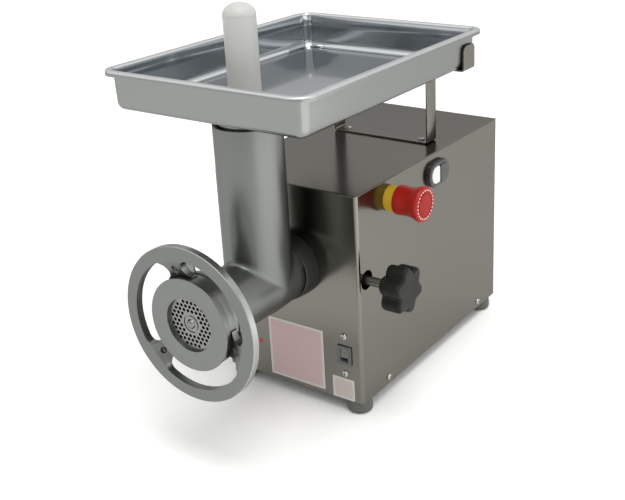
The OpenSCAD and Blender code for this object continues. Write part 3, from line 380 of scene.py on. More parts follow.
def edges_over(bm, angle):
    """Edges where two faces meet at more than an angle in degrees."""
    return [e for e in bm.edges if len(e.link_faces) == 2 and e.calc_face_angle() > math.radians(angle)]


strip_steel = metal("brushed_strip_steel", (0.195, 0.189, 0.170), 0.26, (14, 700, 700), streak=0.025,
                    cloud=0.03, depth=0.000004)
back_edge = (0, BRACKET_Y + STRIP / 2, 0)
foot_top, within, under = HEIGHT + STRIP_SHEET, FRAME_HALF - STRIP_SHEET, FRAME_TOP - STRIP_SHEET
frame_strip = pressed([
    (-FRAME_HALF, HEIGHT, 4), (FRAME_HALF, HEIGHT, 4), (FRAME_HALF, FRAME_TOP, 4), (LEDGE, FRAME_TOP),
    (LEDGE, under), (within, under, 2), (within, foot_top, 2), (-within, foot_top, 2), (-within, under, 2),
    (-LEDGE, under), (-LEDGE, FRAME_TOP), (-FRAME_HALF, FRAME_TOP, 4)],
    (1, 0, 0), (0, 0, 1), back_edge, STRIP)
frame_holes = gathered(*[rod(2.1, (x, BRACKET_Y, foot_top - 4), (x, BRACKET_Y, foot_top + 2), 24)
                         for x in BRACKET_SCREW_X])
frame_strip = carved(frame_strip, frame_holes)
softened(frame_strip, edges_over(frame_strip, 40), STRIP_EDGE_R, 2)
finished("bracket_frame_strip", frame_strip, "machine", strip_steel, ["bracket_frame"])

within, seat = CRADLE_HALF - STRIP_SHEET, CRADLE_LOW + STRIP_SHEET
cradle = pressed([
    (-CRADLE_HALF, CRADLE_LOW, 3.6), (CRADLE_HALF, CRADLE_LOW, 3.6), (CRADLE_HALF, CRADLE_TOP),
    (within, CRADLE_TOP), (within, seat, 1.6), (-within, seat, 1.6), (-within, CRADLE_TOP),
    (-CRADLE_HALF, CRADLE_TOP)], (1, 0, 0), (0, 0, 1), (0, CRADLE_BACK, 0), CRADLE_WIDTH)
softened(cradle, [e for e in cradle.edges if all(v.co.z > CRADLE_TOP - 0.1 for v in e.verts)
                  and abs(e.verts[0].co.x - e.verts[1].co.x) > 1], 6.0, 8)
softened(cradle, edges_over(cradle, 40), STRIP_EDGE_R, 2)
finished("tray_cradle_strip", cradle, "machine", strip_steel, ["tray_cradle"])
bracket_places = [((x, BRACKET_Y, foot_top), (0, 0, 1)) for x in BRACKET_SCREW_X]
finished("bracket_screw_pair", pan_screws(bracket_places, shank=9.0), "machine", screw_steel,
         ["bracket_screws"])

# ---- Socket collar ----
# A black rubber ring pushed over the mouth of the gearbox socket, where it seals the cabinet's front round
# the head.

collar_rubber = moulded("black_collar_rubber", (0.012, 0.012, 0.010), 0.5, pit=800.0, depth=0.00005)
collar_line = [(33.8, -0.1), (33.8, -20.2, 0.15), (34.8, -20.2, 0.3), (35.5, -19.4, 0.6), (36.2, -12),
               (36.8, -4.5, 0.6), (36.8, -0.1, 0.2)]
collar = turned(collar_line, (0, 0, AXIS_Z), (0, 1, 0), 128)
finished("front_collar_ring", collar, "machine", collar_rubber, ["front_collar"])

# ---- Grinding head ----
# One casting in stainless steel: a horizontal barrel with the feed tube rising from it, blended into each
# other where the mould was filleted, polished outside and bored for the auger, the plate and the pusher.

TUBE_Y, TUBE_R, TUBE_TOP = -56.0, 35.3, 328.0
BARREL_R, SWELL, SWELL_REACH = 34.2, 1.15, 14.0


def barrel_radius(y):
    """The barrel swells a little under the feed tube."""
    return BARREL_R + SWELL * math.exp(-((y - TUBE_Y) / SWELL_REACH) ** 2)


def skin_gap(point, fillet=6.5):
    """Distance of a point outside the skin of barrel and tube, with a fillet that fades at the sides."""
    x, y, z = point
    round_barrel, round_tube = math.hypot(x, z - AXIS_Z), math.hypot(x, y - TUBE_Y)
    outside_barrel, outside_tube = round_barrel - barrel_radius(y), round_tube - TUBE_R
    alike = x * x / (round_barrel * round_tube)
    reach = fillet * (1.0001 - alike)
    overlap = max(reach - abs(outside_barrel - outside_tube), 0.0)
    return min(outside_barrel, outside_tube) - overlap * overlap / (4 * reach)


def onto_skin(bm, reach=9.0):
    """Moves the vertices round the joint onto the blended skin."""
    moved = []
    for vert in bm.verts:
        x, y, z = vert.co
        if not AXIS_Z + 1 < z < AXIS_Z + BARREL_R + reach + 2:
            continue
        if abs(y - TUBE_Y) >= TUBE_R + reach + 1:
            continue
        apart = abs(math.hypot(x, z - AXIS_Z) - barrel_radius(y) - math.hypot(x, y - TUBE_Y) + TUBE_R)
        if apart > reach:
            continue
        for _ in range(3):
            here = skin_gap(vert.co)
            slope = Vector([(skin_gap(vert.co + Vector(step)) - here) / 0.01
                            for step in ((0.01, 0, 0), (0, 0.01, 0), (0, 0, 0.01))])
            vert.co -= slope.normalized() * here
        moved.append(vert)
    return moved


barrel_line = [(0, -158), (39.45, -158, 0.9), (39.45, -133, 0.6), (37.5, -130.5, 0.5), (34.8, -127, 0.8),
               (BARREL_R, -122, 0.8)]
barrel_line += [(barrel_radius(y), y) for y in range(-110, -28, 2)]
barrel_line += [(BARREL_R, -28), (33.4, -26), (33.4, -12.2, 0.4), (28, -12.2), (28, 21), (27, 22), (0, 22)]
tube_line = [(0, 152), (TUBE_R, 152)] + [(TUBE_R, z) for z in range(162, 222, 2)] + [(TUBE_R, 270)]
tube_line += [(TUBE_R, TUBE_TOP, 0.7), (0, TUBE_TOP)]
barrel = turned(barrel_line, (0, 0, AXIS_Z), (0, 1, 0), 128)
tube = turned(tube_line, (0, TUBE_Y, 0), (0, 0, 1), 128)
head = carved(barrel, tube, "UNION")
joint = onto_skin(head)
bmesh.ops.triangulate(head, faces=[f for f in head.faces if any(v in set(joint) for v in f.verts)],
                      quad_method="BEAUTY", ngon_method="BEAUTY")
for _ in range(5):
    bmesh.ops.smooth_vert(head, verts=joint, factor=0.5, use_axis_x=True, use_axis_y=True, use_axis_z=True)
    joint = onto_skin(head)
bmesh.ops.recalc_face_normals(head, faces=head.faces)
barrel_bore = [(0, -160), (35.05, -160), (35.05, -153.98), (29, -153.98), (29, -31), (14.05, -31),
               (14.05, -17), (20, -17), (20, 24), (0, 24)]
head = carved(head, turned(barrel_bore, (0, 0, AXIS_Z), (0, 1, 0), 96))
tube_bore = [(0, 152), (28, 152), (28, 186.2), (29.9, 186.2), (29.9, 314.7), (32, 314.7), (32, 327.3),
             (32.7, 328), (34, 340), (0, 340)]
head = carved(head, turned(tube_bore, (0, TUBE_Y, 0), (0, 0, 1), 128))
clamp_flat = block((26.4, 6, 137), (32, 24, 155))
plate_keyway = block((-3.1, -160, 184), (3.1, -153.98, 189))
head = carved(head, gathered(clamp_flat, plate_keyway))
cast_steel = metal("polished_cast_steel", (0.186, 0.193, 0.184), 0.37, (260, 260, 260), streak=0.015,
                   cloud=0.02, depth=0.000002, spread=0.012)
finished("head_casting", head, "head", cast_steel, ["head_body"], crease=40)

# ---- Ring nut and handwheel ----
# The nut is turned from a casting; its lip holds the plate in the barrel. A flat aluminium wheel with three
# dished spokes grips it, held by three small clamps in the nut's groove, each drawn up with one screw.

PLATE_Y, NUT_Y, WHEEL_Y, WHEEL_BACK = -162.0, -166.0, -166.5, -158.5
SPOKES = (104, 224, 344)
WHEEL_R, SLOT_OUT, SLOT_END_AT, SLOT_END_R = 81.7, 68.5, 58.9, 9.6
WHEEL_SCREW_AT, SCREW_SEAT = 57.5, -161.4

nut_metal = metal("turned_cast_nut", (0.208, 0.215, 0.206), 0.32, (120, 120, 120), streak=0.02, cloud=0.03,
                  depth=0.000006, spread=0.03)
nut_line = [(28.1, NUT_Y, 0.5), (48.9, NUT_Y, 1.0), (47.8, -158.6, 0.2), (47.8, -150.25, 0.2),
            (45.6, -150.25), (45.6, -144.15), (46.6, -144.15, 0.2), (44.6, -134, 0.6), (39.5, -134),
            (39.5, PLATE_Y - 0.05), (28.1, PLATE_Y - 0.05)]
nut = turned(nut_line, (0, 0, AXIS_Z), (0, 1, 0), 160)
finished("ring_nut_turned", nut, "ring", nut_metal, ["ring_nut"])

wheel_metal = metal("cast_wheel_aluminium", (0.188, 0.195, 0.188), 0.34, (150, 150, 150), streak=0.03,
                    cloud=0.04, depth=0.000012, spread=0.04)
# Radii of the rim's inner edge, where the dished spokes start, and of the bore, and the cut of the corners
RIM_IN_R, WHEEL_BORE_R, RIM_CUT = 66, 47.9, 0.8
wheel_line = [(WHEEL_BORE_R, WHEEL_BACK), (RIM_IN_R, WHEEL_Y), (WHEEL_R - RIM_CUT, WHEEL_Y),
              (WHEEL_R, WHEEL_Y + RIM_CUT), (WHEEL_R, WHEEL_BACK - RIM_CUT), (WHEEL_R - RIM_CUT, WHEEL_BACK),
              (RIM_IN_R, WHEEL_BACK), (WHEEL_BORE_R, -150.9)]
wheel = turned(wheel_line, (0, 0, AXIS_Z), (0, 1, 0), 180)
for spoke in SPOKES:
    first, last = math.radians(spoke + 19), math.radians(spoke + 101)
    reach = [first + (last - first) * step / 12 for step in range(13)]
    fan = [(0, 0)] + [(SLOT_OUT * math.cos(a), SLOT_OUT * math.sin(a)) for a in reach]
    slot = pressed(fan, (1, 0, 0), (0, 0, 1), (0, -140, AXIS_Z), 40)
    for end in (first, last):
        middle = Vector((SLOT_END_AT * math.cos(end), 0, AXIS_Z + SLOT_END_AT * math.sin(end)))
        slot_end = rod(SLOT_END_R, middle + Vector((0, -140, 0)), middle + Vector((0, -180, 0)), 48)
        slot = carved(slot, slot_end, "UNION")
    wheel = carved(wheel, slot)
    at = math.radians(spoke)
    seat = Vector((WHEEL_SCREW_AT * math.cos(at), 0, AXIS_Z + WHEEL_SCREW_AT * math.sin(at)))
    wheel = carved(wheel, rod(3.4, seat + Vector((0, -175, 0)), seat + Vector((0, SCREW_SEAT + 0.05, 0)), 32))
bmesh.ops.dissolve_limit(wheel, angle_limit=math.radians(0.5), verts=wheel.verts, edges=wheel.edges)
softened(wheel, edges_over(wheel, 48), 0.7, 3)
# The rim's outer edge gets a copy of the wheel metal twice as light, a painted highlight where that edge
# catches the light
rim_painted_highlight = metal("wheel_rim_painted_highlight", (0.38, 0.39, 0.38), 0.30, (150, 150, 150), streak=0.03, cloud=0.04,
                   depth=0.000006)
for face in wheel.faces:
    middle = face.calc_center_median()
    face.material_index = 1 if math.hypot(middle.x, middle.z - AXIS_Z) > WHEEL_R - 1.1 else 0
finished("handwheel_cast", wheel, "ring", [wheel_metal, rim_painted_highlight], ["handwheel"],
         crease=35)
finished("wheel_clamp_set", deburred("wheel_clamps", 0.4), "ring", wheel_metal,
         ["wheel_clamps"])
dark_screw = metal("blackened_screw", (0.10, 0.10, 0.085), 0.35, (420, 420, 420))
wheel_screws = [((WHEEL_SCREW_AT * math.cos(a), SCREW_SEAT, AXIS_Z + WHEEL_SCREW_AT * math.sin(a)),
                 (0, -1, 0)) for a in (math.radians(spoke) for spoke in SPOKES)]
finished("wheel_screw_set", pan_screws(wheel_screws, 3.0, 14.0), "ring", dark_screw,
         ["wheel_screws"])

# ---- Cutting set ----
# The hardened plate has staggered holes round a plain hub ring and is keyed to the head. A four-armed knife
# rides on the auger's square behind it, and the auger's domed pin runs in the plate's centre.

cutting_steel = metal("ground_cutting_steel", (0.255, 0.26, 0.25), 0.30, (700, 700, 700), streak=0.04)


def keeps_shape(finish, *names):
    """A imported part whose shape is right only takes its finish."""
    for name in names:
        mesh = nodes[name].data
        mesh.materials.clear()
        mesh.materials.append(finish)


keeps_shape(cutting_steel, "grinding_plate", "knife", "auger")

# ---- Feed tray ----
# Deep-drawn stainless tray in 1.2 mm sheet with a rolled rim, satin outside and bright inside, so that its
# floor and walls mirror each other. A flared spigot is welded under its throat and plugs into the feed tube.

TRAY_X, TRAY_FRONT, TRAY_BACK, TRAY_MIDDLE_Y, THROAT_R = 126.0, -129.5, 215.0, 43, 29.9
TRAY_CORNER_R, TRAY_SHEET, RIM_WIDTH, RIM_LOW, RIM_TURN = 20, 1.2, 8.6, 378, 381.2
SPIGOT_LOW, FLARE_Z, FLARE_R = 315, 339.2, 4.0
# How far each line of the pressing lies inside the rim's edge, and its height
PRESSING = [(0.35, 382.2), (1.1, 382.8), (2.1, 383.0), (6.9, 383.0), (8.1, 382.7), (8.9, 382.0),
            (9.2, 380.9), (9.6, 367.0), (10.1, 351.0), (10.4, 348.4), (11.2, 346.2), (12.6, 344.5),
            (14.3, 343.5), (16.2, 343.2)]
tray = bmesh.new()
bmesh.ops.create_grid(tray, x_segments=1, y_segments=1, size=1.0)
bmesh.ops.scale(tray, vec=(TRAY_X, (TRAY_BACK - TRAY_FRONT) / 2, 1), verts=tray.verts)
bmesh.ops.translate(tray, vec=(0, (TRAY_BACK + TRAY_FRONT) / 2, RIM_LOW), verts=tray.verts)
bmesh.ops.bevel(tray, geom=tray.verts[:], offset=TRAY_CORNER_R * 0.9999, offset_type="OFFSET", segments=14,
                profile=0.5, affect="VERTICES", clamp_overlap=True, material=-1)
raised = bmesh.ops.extrude_face_region(tray, geom=tray.faces[:])["geom"]
floor_face = next(g for g in raised if isinstance(g, bmesh.types.BMFace))
bmesh.ops.translate(tray, vec=(0, 0, RIM_TURN - RIM_LOW), verts=floor_face.verts)
lowest = [f for f in tray.faces if all(v.co.z < RIM_LOW + 0.1 for v in f.verts)]
bmesh.ops.delete(tray, geom=lowest, context="FACES_ONLY")
inside, height = 0.0, RIM_TURN
for deeper, level in PRESSING:
    bmesh.ops.inset_region(tray, faces=[floor_face], thickness=deeper - inside, use_even_offset=True,
                           use_boundary=True)
    bmesh.ops.translate(tray, vec=(0, 0, level - height), verts=floor_face.verts)
    inside, height = deeper, level
bmesh.ops.recalc_face_normals(tray, faces=tray.faces)
tray.normal_update()
# The sheet's thickness goes to the underside, so the floor has to face up before it gets one
if min(tray.faces, key=lambda f: f.calc_center_median().z).normal.z < 0:
    bmesh.ops.reverse_faces(tray, faces=tray.faces)
bmesh.ops.solidify(tray, geom=tray.faces[:], thickness=TRAY_SHEET)
bmesh.ops.recalc_face_normals(tray, faces=tray.faces)
# The hole in the floor that the spigot is welded under
tray = carved(tray, rod(THROAT_R + FLARE_R, (0, TUBE_Y, 337), (0, TUBE_Y, 347), 128))
for face in tray.faces:
    middle = face.calc_center_median()
    to_middle = Vector((-middle.x, TRAY_MIDDLE_Y - middle.y, 0))
    within = (abs(middle.x) < TRAY_X - RIM_WIDTH
              and TRAY_FRONT + RIM_WIDTH < middle.y < TRAY_BACK - RIM_WIDTH)
    bright = face.normal.z > 0.5 or face.normal.dot(to_middle.normalized()) > 0.2
    # Faces on the rim take the third coat, a lighter copy of the satin steel that paints a highlight on the
    # rim
    on_rim = not within and middle.z > RIM_TURN + 0.1
    face.material_index = 0 if within and bright else 2 if on_rim else 1
bright_tray = metal("bright_tray_inside", (0.585, 0.612, 0.630), 0.085, (60, 60, 60), streak=0.02, cloud=0.03,
                    depth=0.000001, spread=0.02)
satin_tray = metal("satin_tray_outside", (0.258, 0.266, 0.258), 0.26, (90, 90, 90), streak=0.012, cloud=0.015,
                   depth=0.0000015, spread=0.02)
# The rim coat is the satin steel made over twice as light, a painted highlight where the rim's top catches
# light from above
tray_rim_painted_highlight = metal("satin_tray_rim_painted_highlight", (0.62, 0.63, 0.635), 0.40, (90, 90, 90), streak=0.02, cloud=0.03,
                   depth=0.000004)
finished("tray_pressing", tray, "tray", [bright_tray, satin_tray, tray_rim_painted_highlight], ["tray"],
         crease=50)


def flare(radius, start, angles):
    """Points of the round flare at the spigot's top, from a start radius."""
    return [(start + radius * (1 - math.cos(math.radians(a))), FLARE_Z + radius * math.sin(math.radians(a)))
            for a in angles]


spigot_line = [(THROAT_R, SPIGOT_LOW), (THROAT_R + TRAY_SHEET, SPIGOT_LOW)]
spigot_line += flare(FLARE_R - TRAY_SHEET, THROAT_R + TRAY_SHEET, (0, 30, 60, 90))
spigot_line += [(THROAT_R + FLARE_R, FLARE_Z + FLARE_R)]
spigot_line += flare(FLARE_R, THROAT_R, (75, 60, 45, 30, 15, 0))
spigot = turned(spigot_line, (0, TUBE_Y, 0), (0, 0, 1), 128)
finished("tray_spigot", spigot, "tray", satin_tray, crease=40)

# ---- Pusher ----
# Turned in one piece from white food-grade polyethylene: a rod with a domed grip, and below it a wider
# plunger that slides loosely in the feed tube.

DOME_R, DOME_Z, DOME_RISE = 16.5, 434, 12
pusher_plastic = moulded("white_polyethylene", (0.52, 0.52, 0.50), 0.42, pit=500.0, depth=0.00003, tint=0.02)
pusher_shader = pusher_plastic.node_tree.nodes["Principled BSDF"]
pusher_shader.inputs["Subsurface Weight"].default_value = 0.15
pusher_shader.inputs["Subsurface Scale"].default_value = 0.004
pusher_line = [(0, 232), (26, 232, 2.0), (26, 266, 1.2), (23, 270, 1.2), (16.3, 274, 1.5), (16.3, 433.2, 0.2),
               (DOME_R, 433.9)]
pusher_line += [(DOME_R * math.cos(math.radians(a)), DOME_Z + DOME_RISE * math.sin(math.radians(a)))
                for a in range(6, 90, 6)]
pusher_line += [(0, DOME_Z + DOME_RISE)]
pusher = turned(pusher_line, (0, TUBE_Y, 0), (0, 0, 1), 96)
finished("pusher_turned", pusher, "pusher", pusher_plastic, ["pusher"], crease=50)

# ---- Head clamp ----
# A steel screw runs through the side of the gearbox socket and presses a pad on the head's spigot. A
# six-lobed star knob in black phenolic is moulded on its end.

KNOB_LOBES, KNOB_TURN, VALLEY_R, LOBE_RISE = 6, 40, 20.3, 6.7
# The round edges of the knob's inner and outer ends, and where the straight part between them lies
KNOB_IN_EDGE, KNOB_OUT_EDGE, KNOB_STARTS, KNOB_STRAIGHT = 6.0, 3.5, 35, 15.5
EDGE_STEPS = 6
clamp_line = (RIGHT, CLAMP_Y, CLAMP_Z)
stem_steel = metal("darkened_stem_steel", (0.14, 0.135, 0.12), 0.38, (300, 300, 300), streak=0.08)
clamp_screw = turned([(0, -59), (3, -59, 0.4), (3, -56.1), (5, -56.1, 0.5), (5, 43, 0.6), (0, 43)],
                     clamp_line, (1, 0, 0), 48)
finished("clamp_screw_turned", clamp_screw, "clamp_knob", stem_steel, ["clamp_screw"])
finished("clamp_pad_turned", deburred("clamp_pad", 0.5), "clamp_pad", screw_steel,
         ["clamp_pad"])

phenolic = moulded("black_phenolic", (0.009, 0.010, 0.0075), 0.42, pit=700.0, depth=0.00004, tint=0.1,
                   gloss=0.16)
knob = bmesh.new()
bmesh.ops.create_circle(knob, cap_ends=True, radius=1.0, segments=180)
for vert in knob.verts:
    angle = math.atan2(vert.co.y, vert.co.x)
    lobe = 0.5 + 0.5 * math.cos(KNOB_LOBES * (angle - math.radians(KNOB_TURN)))
    vert.co *= VALLEY_R + LOBE_RISE * lobe ** 0.75
inner_face = knob.faces[:][0]
raised = bmesh.ops.extrude_face_region(knob, geom=[inner_face], use_keep_orig=True)["geom"]
outer_face = next(g for g in raised if isinstance(g, bmesh.types.BMFace))
bmesh.ops.translate(knob, vec=(0, 0, KNOB_STRAIGHT), verts=outer_face.verts)
for end_face, outward, edge in ((inner_face, -1, KNOB_IN_EDGE), (outer_face, 1, KNOB_OUT_EDGE)):
    for step in range(EDGE_STEPS):
        turn, further = (math.radians(90 / EDGE_STEPS * count) for count in (step, step + 1))
        bmesh.ops.inset_region(knob, faces=[end_face], thickness=edge * (math.cos(turn) - math.cos(further)),
                               use_even_offset=True, use_boundary=True)
        bmesh.ops.translate(knob, vec=(0, 0, outward * edge * (math.sin(further) - math.sin(turn))),
                            verts=end_face.verts)
knob.transform(Matrix.Translation((RIGHT + KNOB_STARTS, CLAMP_Y, CLAMP_Z))
               @ Matrix(((0, 0, 1, 0), (1, 0, 0, 0), (0, 1, 0, 0), (0, 0, 0, 1))))
bmesh.ops.recalc_face_normals(knob, faces=knob.faces)
knob = carved(knob, turned([(0, 21), (9, 21, 0.8), (11, 31), (0, 31)], clamp_line, (1, 0, 0), 64), "UNION")
knob = carved(knob, rod(5.03, (RIGHT + 18, CLAMP_Y, CLAMP_Z), (RIGHT + 43.1, CLAMP_Y, CLAMP_Z), 48))
finished("star_knob_moulded", knob, "clamp_knob", phenolic, ["star_knob"], crease=40)

# ---- Stop button ----
# A latching mushroom button: red moulded head on a black stem, over a yellow collar screwed through the side
# panel. Pale arrowheads on the ring of its face show the way to twist it free.

stop_line = (RIGHT, STOP_Y, STOP_Z)
# The arrowheads: how many, at which radius, and how far out from the side panel
MARKS, MARKS_AT, MARKS_OUT = 24, 15.75, 44.46
yellow = moulded("yellow_nylon", (0.58, 0.37, 0.020), 0.38, depth=0.00002)
collar_line = [(5.06, -16), (10.9, -16, 0.4), (10.9, 0), (14.3, 0, 0.3), (14.3, 13.5, 0.7), (5.06, 13.5)]
finished("stop_collar_moulded", turned(collar_line, stop_line, (1, 0, 0), 80), "machine", yellow,
         ["stop_collar"])
dark_stem = moulded("black_nylon", (0.03, 0.03, 0.03), 0.4)
keeps_shape(dark_stem, "stop_stem")
red = moulded("red_nylon", (0.31, 0.009, 0.0045), 0.40, depth=0.00001, tint=0.04, gloss=0.3)
red_face = moulded("red_face_insert", (0.28, 0.011, 0.008), 0.5, depth=0.00001, tint=0.03, gloss=0.15)
pale_mark = moulded("pale_print", (0.78, 0.62, 0.56), 0.5, depth=0.0)
mushroom_line = [(14.7, 12), (16.3, 12, 0.5), (16.25, 17, 1.0), (15.6, 24, 3.0), (16.4, 32, 3.0),
                 (18.6, 37.9, 1.0), (19.5, 39.9, 0.6), (19.5, 42.2, 0.9), (18.5, 44.0, 0.5),
                 (17.7, 44.2, 0.2), (13.7, 44.2, 0.2), (13.2, 43.4, 0.2), (0, 43.4), (0, 37.1),
                 (8.1, 37.1), (8.1, 32.9), (5.06, 32.9), (5.06, 19), (14.7, 19)]
finished("stop_head_moulded", turned(mushroom_line, stop_line, (1, 0, 0), 96), "stop_mushroom", red,
         ["stop_head"])
disc_line = [(0, 43.42), (12.3, 43.42), (12.3, 44.05, 0.3), (11.6, 44.4, 0.3), (0, 44.45)]
disc = turned(disc_line, stop_line, (1, 0, 0), 80)
ring = turned([(14.0, 44.18), (17.5, 44.18), (17.5, 44.36), (14.0, 44.36)], stop_line, (1, 0, 0), 80)
finished("stop_head_face", gathered(disc, ring), "stop_mushroom", red_face)
arrows = []
for step in range(MARKS):
    tip = math.radians(360 / MARKS * step)
    at = Vector((0, math.cos(tip), math.sin(tip)))
    along = Vector((0, -math.sin(tip), math.cos(tip)))
    arrows.append(pressed([(0, -1.2), (2.2, 0), (0, 1.2)], along, at,
                          Vector(stop_line) + at * MARKS_AT + Vector((MARKS_OUT, 0, 0)), 0.12))
finished("stop_head_marks", gathered(*arrows), "stop_mushroom", pale_mark)

# ---- Start and off buttons ----
# An oblong black housing with two half-round caps side by side: white starts the motor and black stops it.
# All three are moulded, and a nut behind the side panel holds the housing.

HOUSING_R, CAP_R, HALF_LENGTH, CAP_GAP = 15.0, 10.2, 8, 0.8
# A cap's stem: how far it stands from the middle, and its radius; then the cap's inner and outer face
CAP_STEM, CAP_STEM_R, CAP_IN, CAP_OUT = 5.5, 3, 3.6, 6.3


def oblong(radius, start, end, half=0):
    """An oblong block on the side panel; half keeps its front (-1) or its back (1)."""
    low, high, front, back = RIGHT + start, RIGHT + end, START_Y - HALF_LENGTH, START_Y + HALF_LENGTH
    shape = carved(rod(radius, (low, front, START_Z), (high, front, START_Z), 64),
                   rod(radius, (low, back, START_Z), (high, back, START_Z), 64), "UNION")
    shape = carved(shape, block((low, front, START_Z - radius), (high, back, START_Z + radius)), "UNION")
    if half:
        near, far = sorted((START_Y + half * CAP_GAP, START_Y + half * 60))
        keep = block((low - 5, near, START_Z - 40), (high + 5, far, START_Z + 40))
        shape = carved(shape, keep, "INTERSECT")
    bmesh.ops.dissolve_limit(shape, angle_limit=math.radians(0.5), verts=shape.verts, edges=shape.edges)
    return shape


housing = oblong(HOUSING_R, 0, 5.5)
softened(housing, [e for e in housing.edges if all(v.co.x > RIGHT + 5.4 for v in e.verts)], 1.6, 4)
housing = carved(housing, oblong(CAP_R + 0.3, 1.0, 8.0))
housing = carved(housing, rod(10.9, (RIGHT - 16, START_Y, START_Z), (RIGHT + 0.5, START_Y, START_Z)), "UNION")
stem_holes = [rod(CAP_STEM_R + 0.06, (RIGHT - 18, y, START_Z), (RIGHT + 3, y, START_Z), 32)
              for y in (START_Y - CAP_STEM, START_Y + CAP_STEM)]
housing = carved(housing, gathered(*stem_holes))
black_moulding = moulded("black_button_moulding", (0.024, 0.025, 0.025), 0.26, pit=500.0, depth=0.00002)
finished("button_housing_moulded", housing, "machine", black_moulding, ["button_housing"],
         crease=40)
white = moulded("white_button_cap", (0.66, 0.66, 0.64), 0.35, depth=0.00001, tint=0.02, gloss=0.3)
for name, half, body, finish, slot_name in (("start_cap", -1, "start_button", white, "white_plastic"),
                                            ("off_cap", 1, "off_button", black_moulding, "black_plastic")):
    cap = oblong(CAP_R, CAP_IN, CAP_OUT, half)
    softened(cap, [e for e in cap.edges if abs(e.verts[0].co.x - e.verts[1].co.x) > 2 and
                   all(abs(v.co.y - START_Y) < 1 for v in e.verts)], 2.6, 5)
    softened(cap, [e for e in cap.edges if all(v.co.x > RIGHT + CAP_OUT - 0.1 for v in e.verts)], 1.0, 4)
    stem_y = START_Y + half * CAP_STEM
    stem = rod(CAP_STEM_R, (RIGHT - 20, stem_y, START_Z), (RIGHT + CAP_IN + 0.5, stem_y, START_Z), 32)
    cap = carved(cap, stem, "UNION")
    finished(f"{name}_moulded", cap, body, finish, [name], crease=40)

# ---- Front panel ----
# Two blank films are stuck on the lower front. Beside them are a recessed slide switch with its frame and two
# screws, and a small red lens; the films' places for words and marks stay bare.

MARGIN = 3
pink_film = moulded("pale_pink_film", (0.45, 0.325, 0.325), 0.42, pit=200.0, depth=0.00001, tint=0.03)
cream_film = moulded("cream_film", (0.43, 0.385, 0.35), 0.42, pit=200.0, depth=0.00001, tint=0.03)
border = moulded("label_margin", (0.49, 0.465, 0.44), 0.42, pit=200.0, depth=0.0)
for name, film, left, right, low, high in (("large_label", pink_film, -38.7, 37.2, 4.4, 78.4),
                                           ("small_label", cream_film, 48, 77, 0.5, 27)):
    outline = [(left, low, 1.0), (right, low, 1.0), (right, high, 1.0), (left, high, 1.0)]
    sheet = pressed(outline, (1, 0, 0), (0, 0, 1), (0, -0.01, 0), 0.3)
    finished(f"{name}_film", sheet, "machine", border, [name])
    inset = [(left + MARGIN, low + MARGIN, 0.8), (right - MARGIN, low + MARGIN, 0.8),
             (right - MARGIN, high - MARGIN, 0.8), (left + MARGIN, high - MARGIN, 0.8)]
    panel = pressed(inset, (1, 0, 0), (0, 0, 1), (0, -0.32, 0), 0.12)
    finished(f"{name}_panel", panel, "machine", film)

pilot_red = moulded("red_lens", (0.45, 0.02, 0.03), 0.15, depth=0.0, coat_weight=0.4)
lens_line = [(0, -1.5), (1.1, -1.35), (2.0, -0.95), (2.8, -0.35), (2.8, 0), (2.1, 0), (2.1, 6), (0, 6)]
finished("pilot_lens_moulded", turned(lens_line, (PILOT_X, 0, PILOT_Z), (0, 1, 0), 40), "machine", pilot_red,
         ["pilot_lens"])
bezel_plastic = moulded("grey_switch_frame", (0.085, 0.09, 0.086), 0.4, depth=0.00002)
slider_plastic = moulded("grey_switch_slider", (0.16, 0.165, 0.155), 0.42, depth=0.00002)
finished("selector_frame_moulded", deburred("selector_frame", 0.5), "machine", bezel_plastic,
         ["selector_frame"])
finished("selector_slider_moulded", deburred("selector_slider", 0.25), "selector", slider_plastic,
         ["selector_slider"])
selector_places = [((SELECTOR_X, 0, z), (0, -1, 0)) for z in SELECTOR_SCREW_Z]
finished("selector_screw_pair", pan_screws(selector_places, shank=6.5), "machine", screw_steel,
         ["selector_screws"])

# ---- Cable entry ----
# A black nylon gland, screwed through the back cover and locked by a hexagonal nut inside. The mains lead
# would enter here; there is none.

finished("cable_gland_moulded", deburred("cable_gland", 0.5, crease=35), "machine", dark_stem,
         ["cable_gland"])

# ---- Drive and wiring inside ----
# The socket and gearbox are aluminium castings, the gears and shafts hardened steel, the motor's stator and
# end bell painted. Contact blocks, terminals and the capacitor are bought-in parts, screwed or clipped inside
# the cabinet.

cast_alloy = metal("cast_gearbox_alloy", (0.34, 0.34, 0.33), 0.42, (220, 220, 220), streak=0.05, cloud=0.08,
                   depth=0.00006)
gear_steel = metal("hardened_gear_steel", (0.28, 0.275, 0.26), 0.30, (500, 500, 500))
motor_paint = moulded("grey_motor_paint", (0.10, 0.12, 0.15), 0.4, pit=500.0, depth=0.00005, tint=0.1)
core_steel = metal("stacked_core_steel", (0.25, 0.24, 0.225), 0.45, (90, 1600, 90), streak=0.12)
ivory = moulded("ivory_contact_plastic", (0.58, 0.53, 0.42), 0.45, depth=0.00003)
can = metal("drawn_capacitor_can", (0.52, 0.52, 0.53), 0.32, (30, 900, 30), streak=0.05)
seal_rubber = moulded("black_seal_rubber", (0.02, 0.02, 0.02), 0.5, pit=800.0)
keeps_shape(cast_alloy, "drive_socket", "gearbox_housing", "gearbox_cover", "cooling_fan")
keeps_shape(gear_steel, "output_gear", "intermediate_gear", "output_shaft", "intermediate_shaft",
            "motor_shaft", "output_bearings", "intermediate_bearings", "motor_bearings")
keeps_shape(screw_steel, "gearbox_bolts", "control_nuts")
keeps_shape(motor_paint, "motor_stator", "motor_end_bell")
keeps_shape(core_steel, "motor_rotor")
keeps_shape(ivory, "stop_contacts", "start_contacts", "terminal_block")
keeps_shape(can, "capacitor")
keeps_shape(seal_rubber, "oil_seal")


# ---- Camera, floor and light ----
# A plain pale floor under a soft overcast light, seen from the front right and a little above.
# None of it belongs to the object.

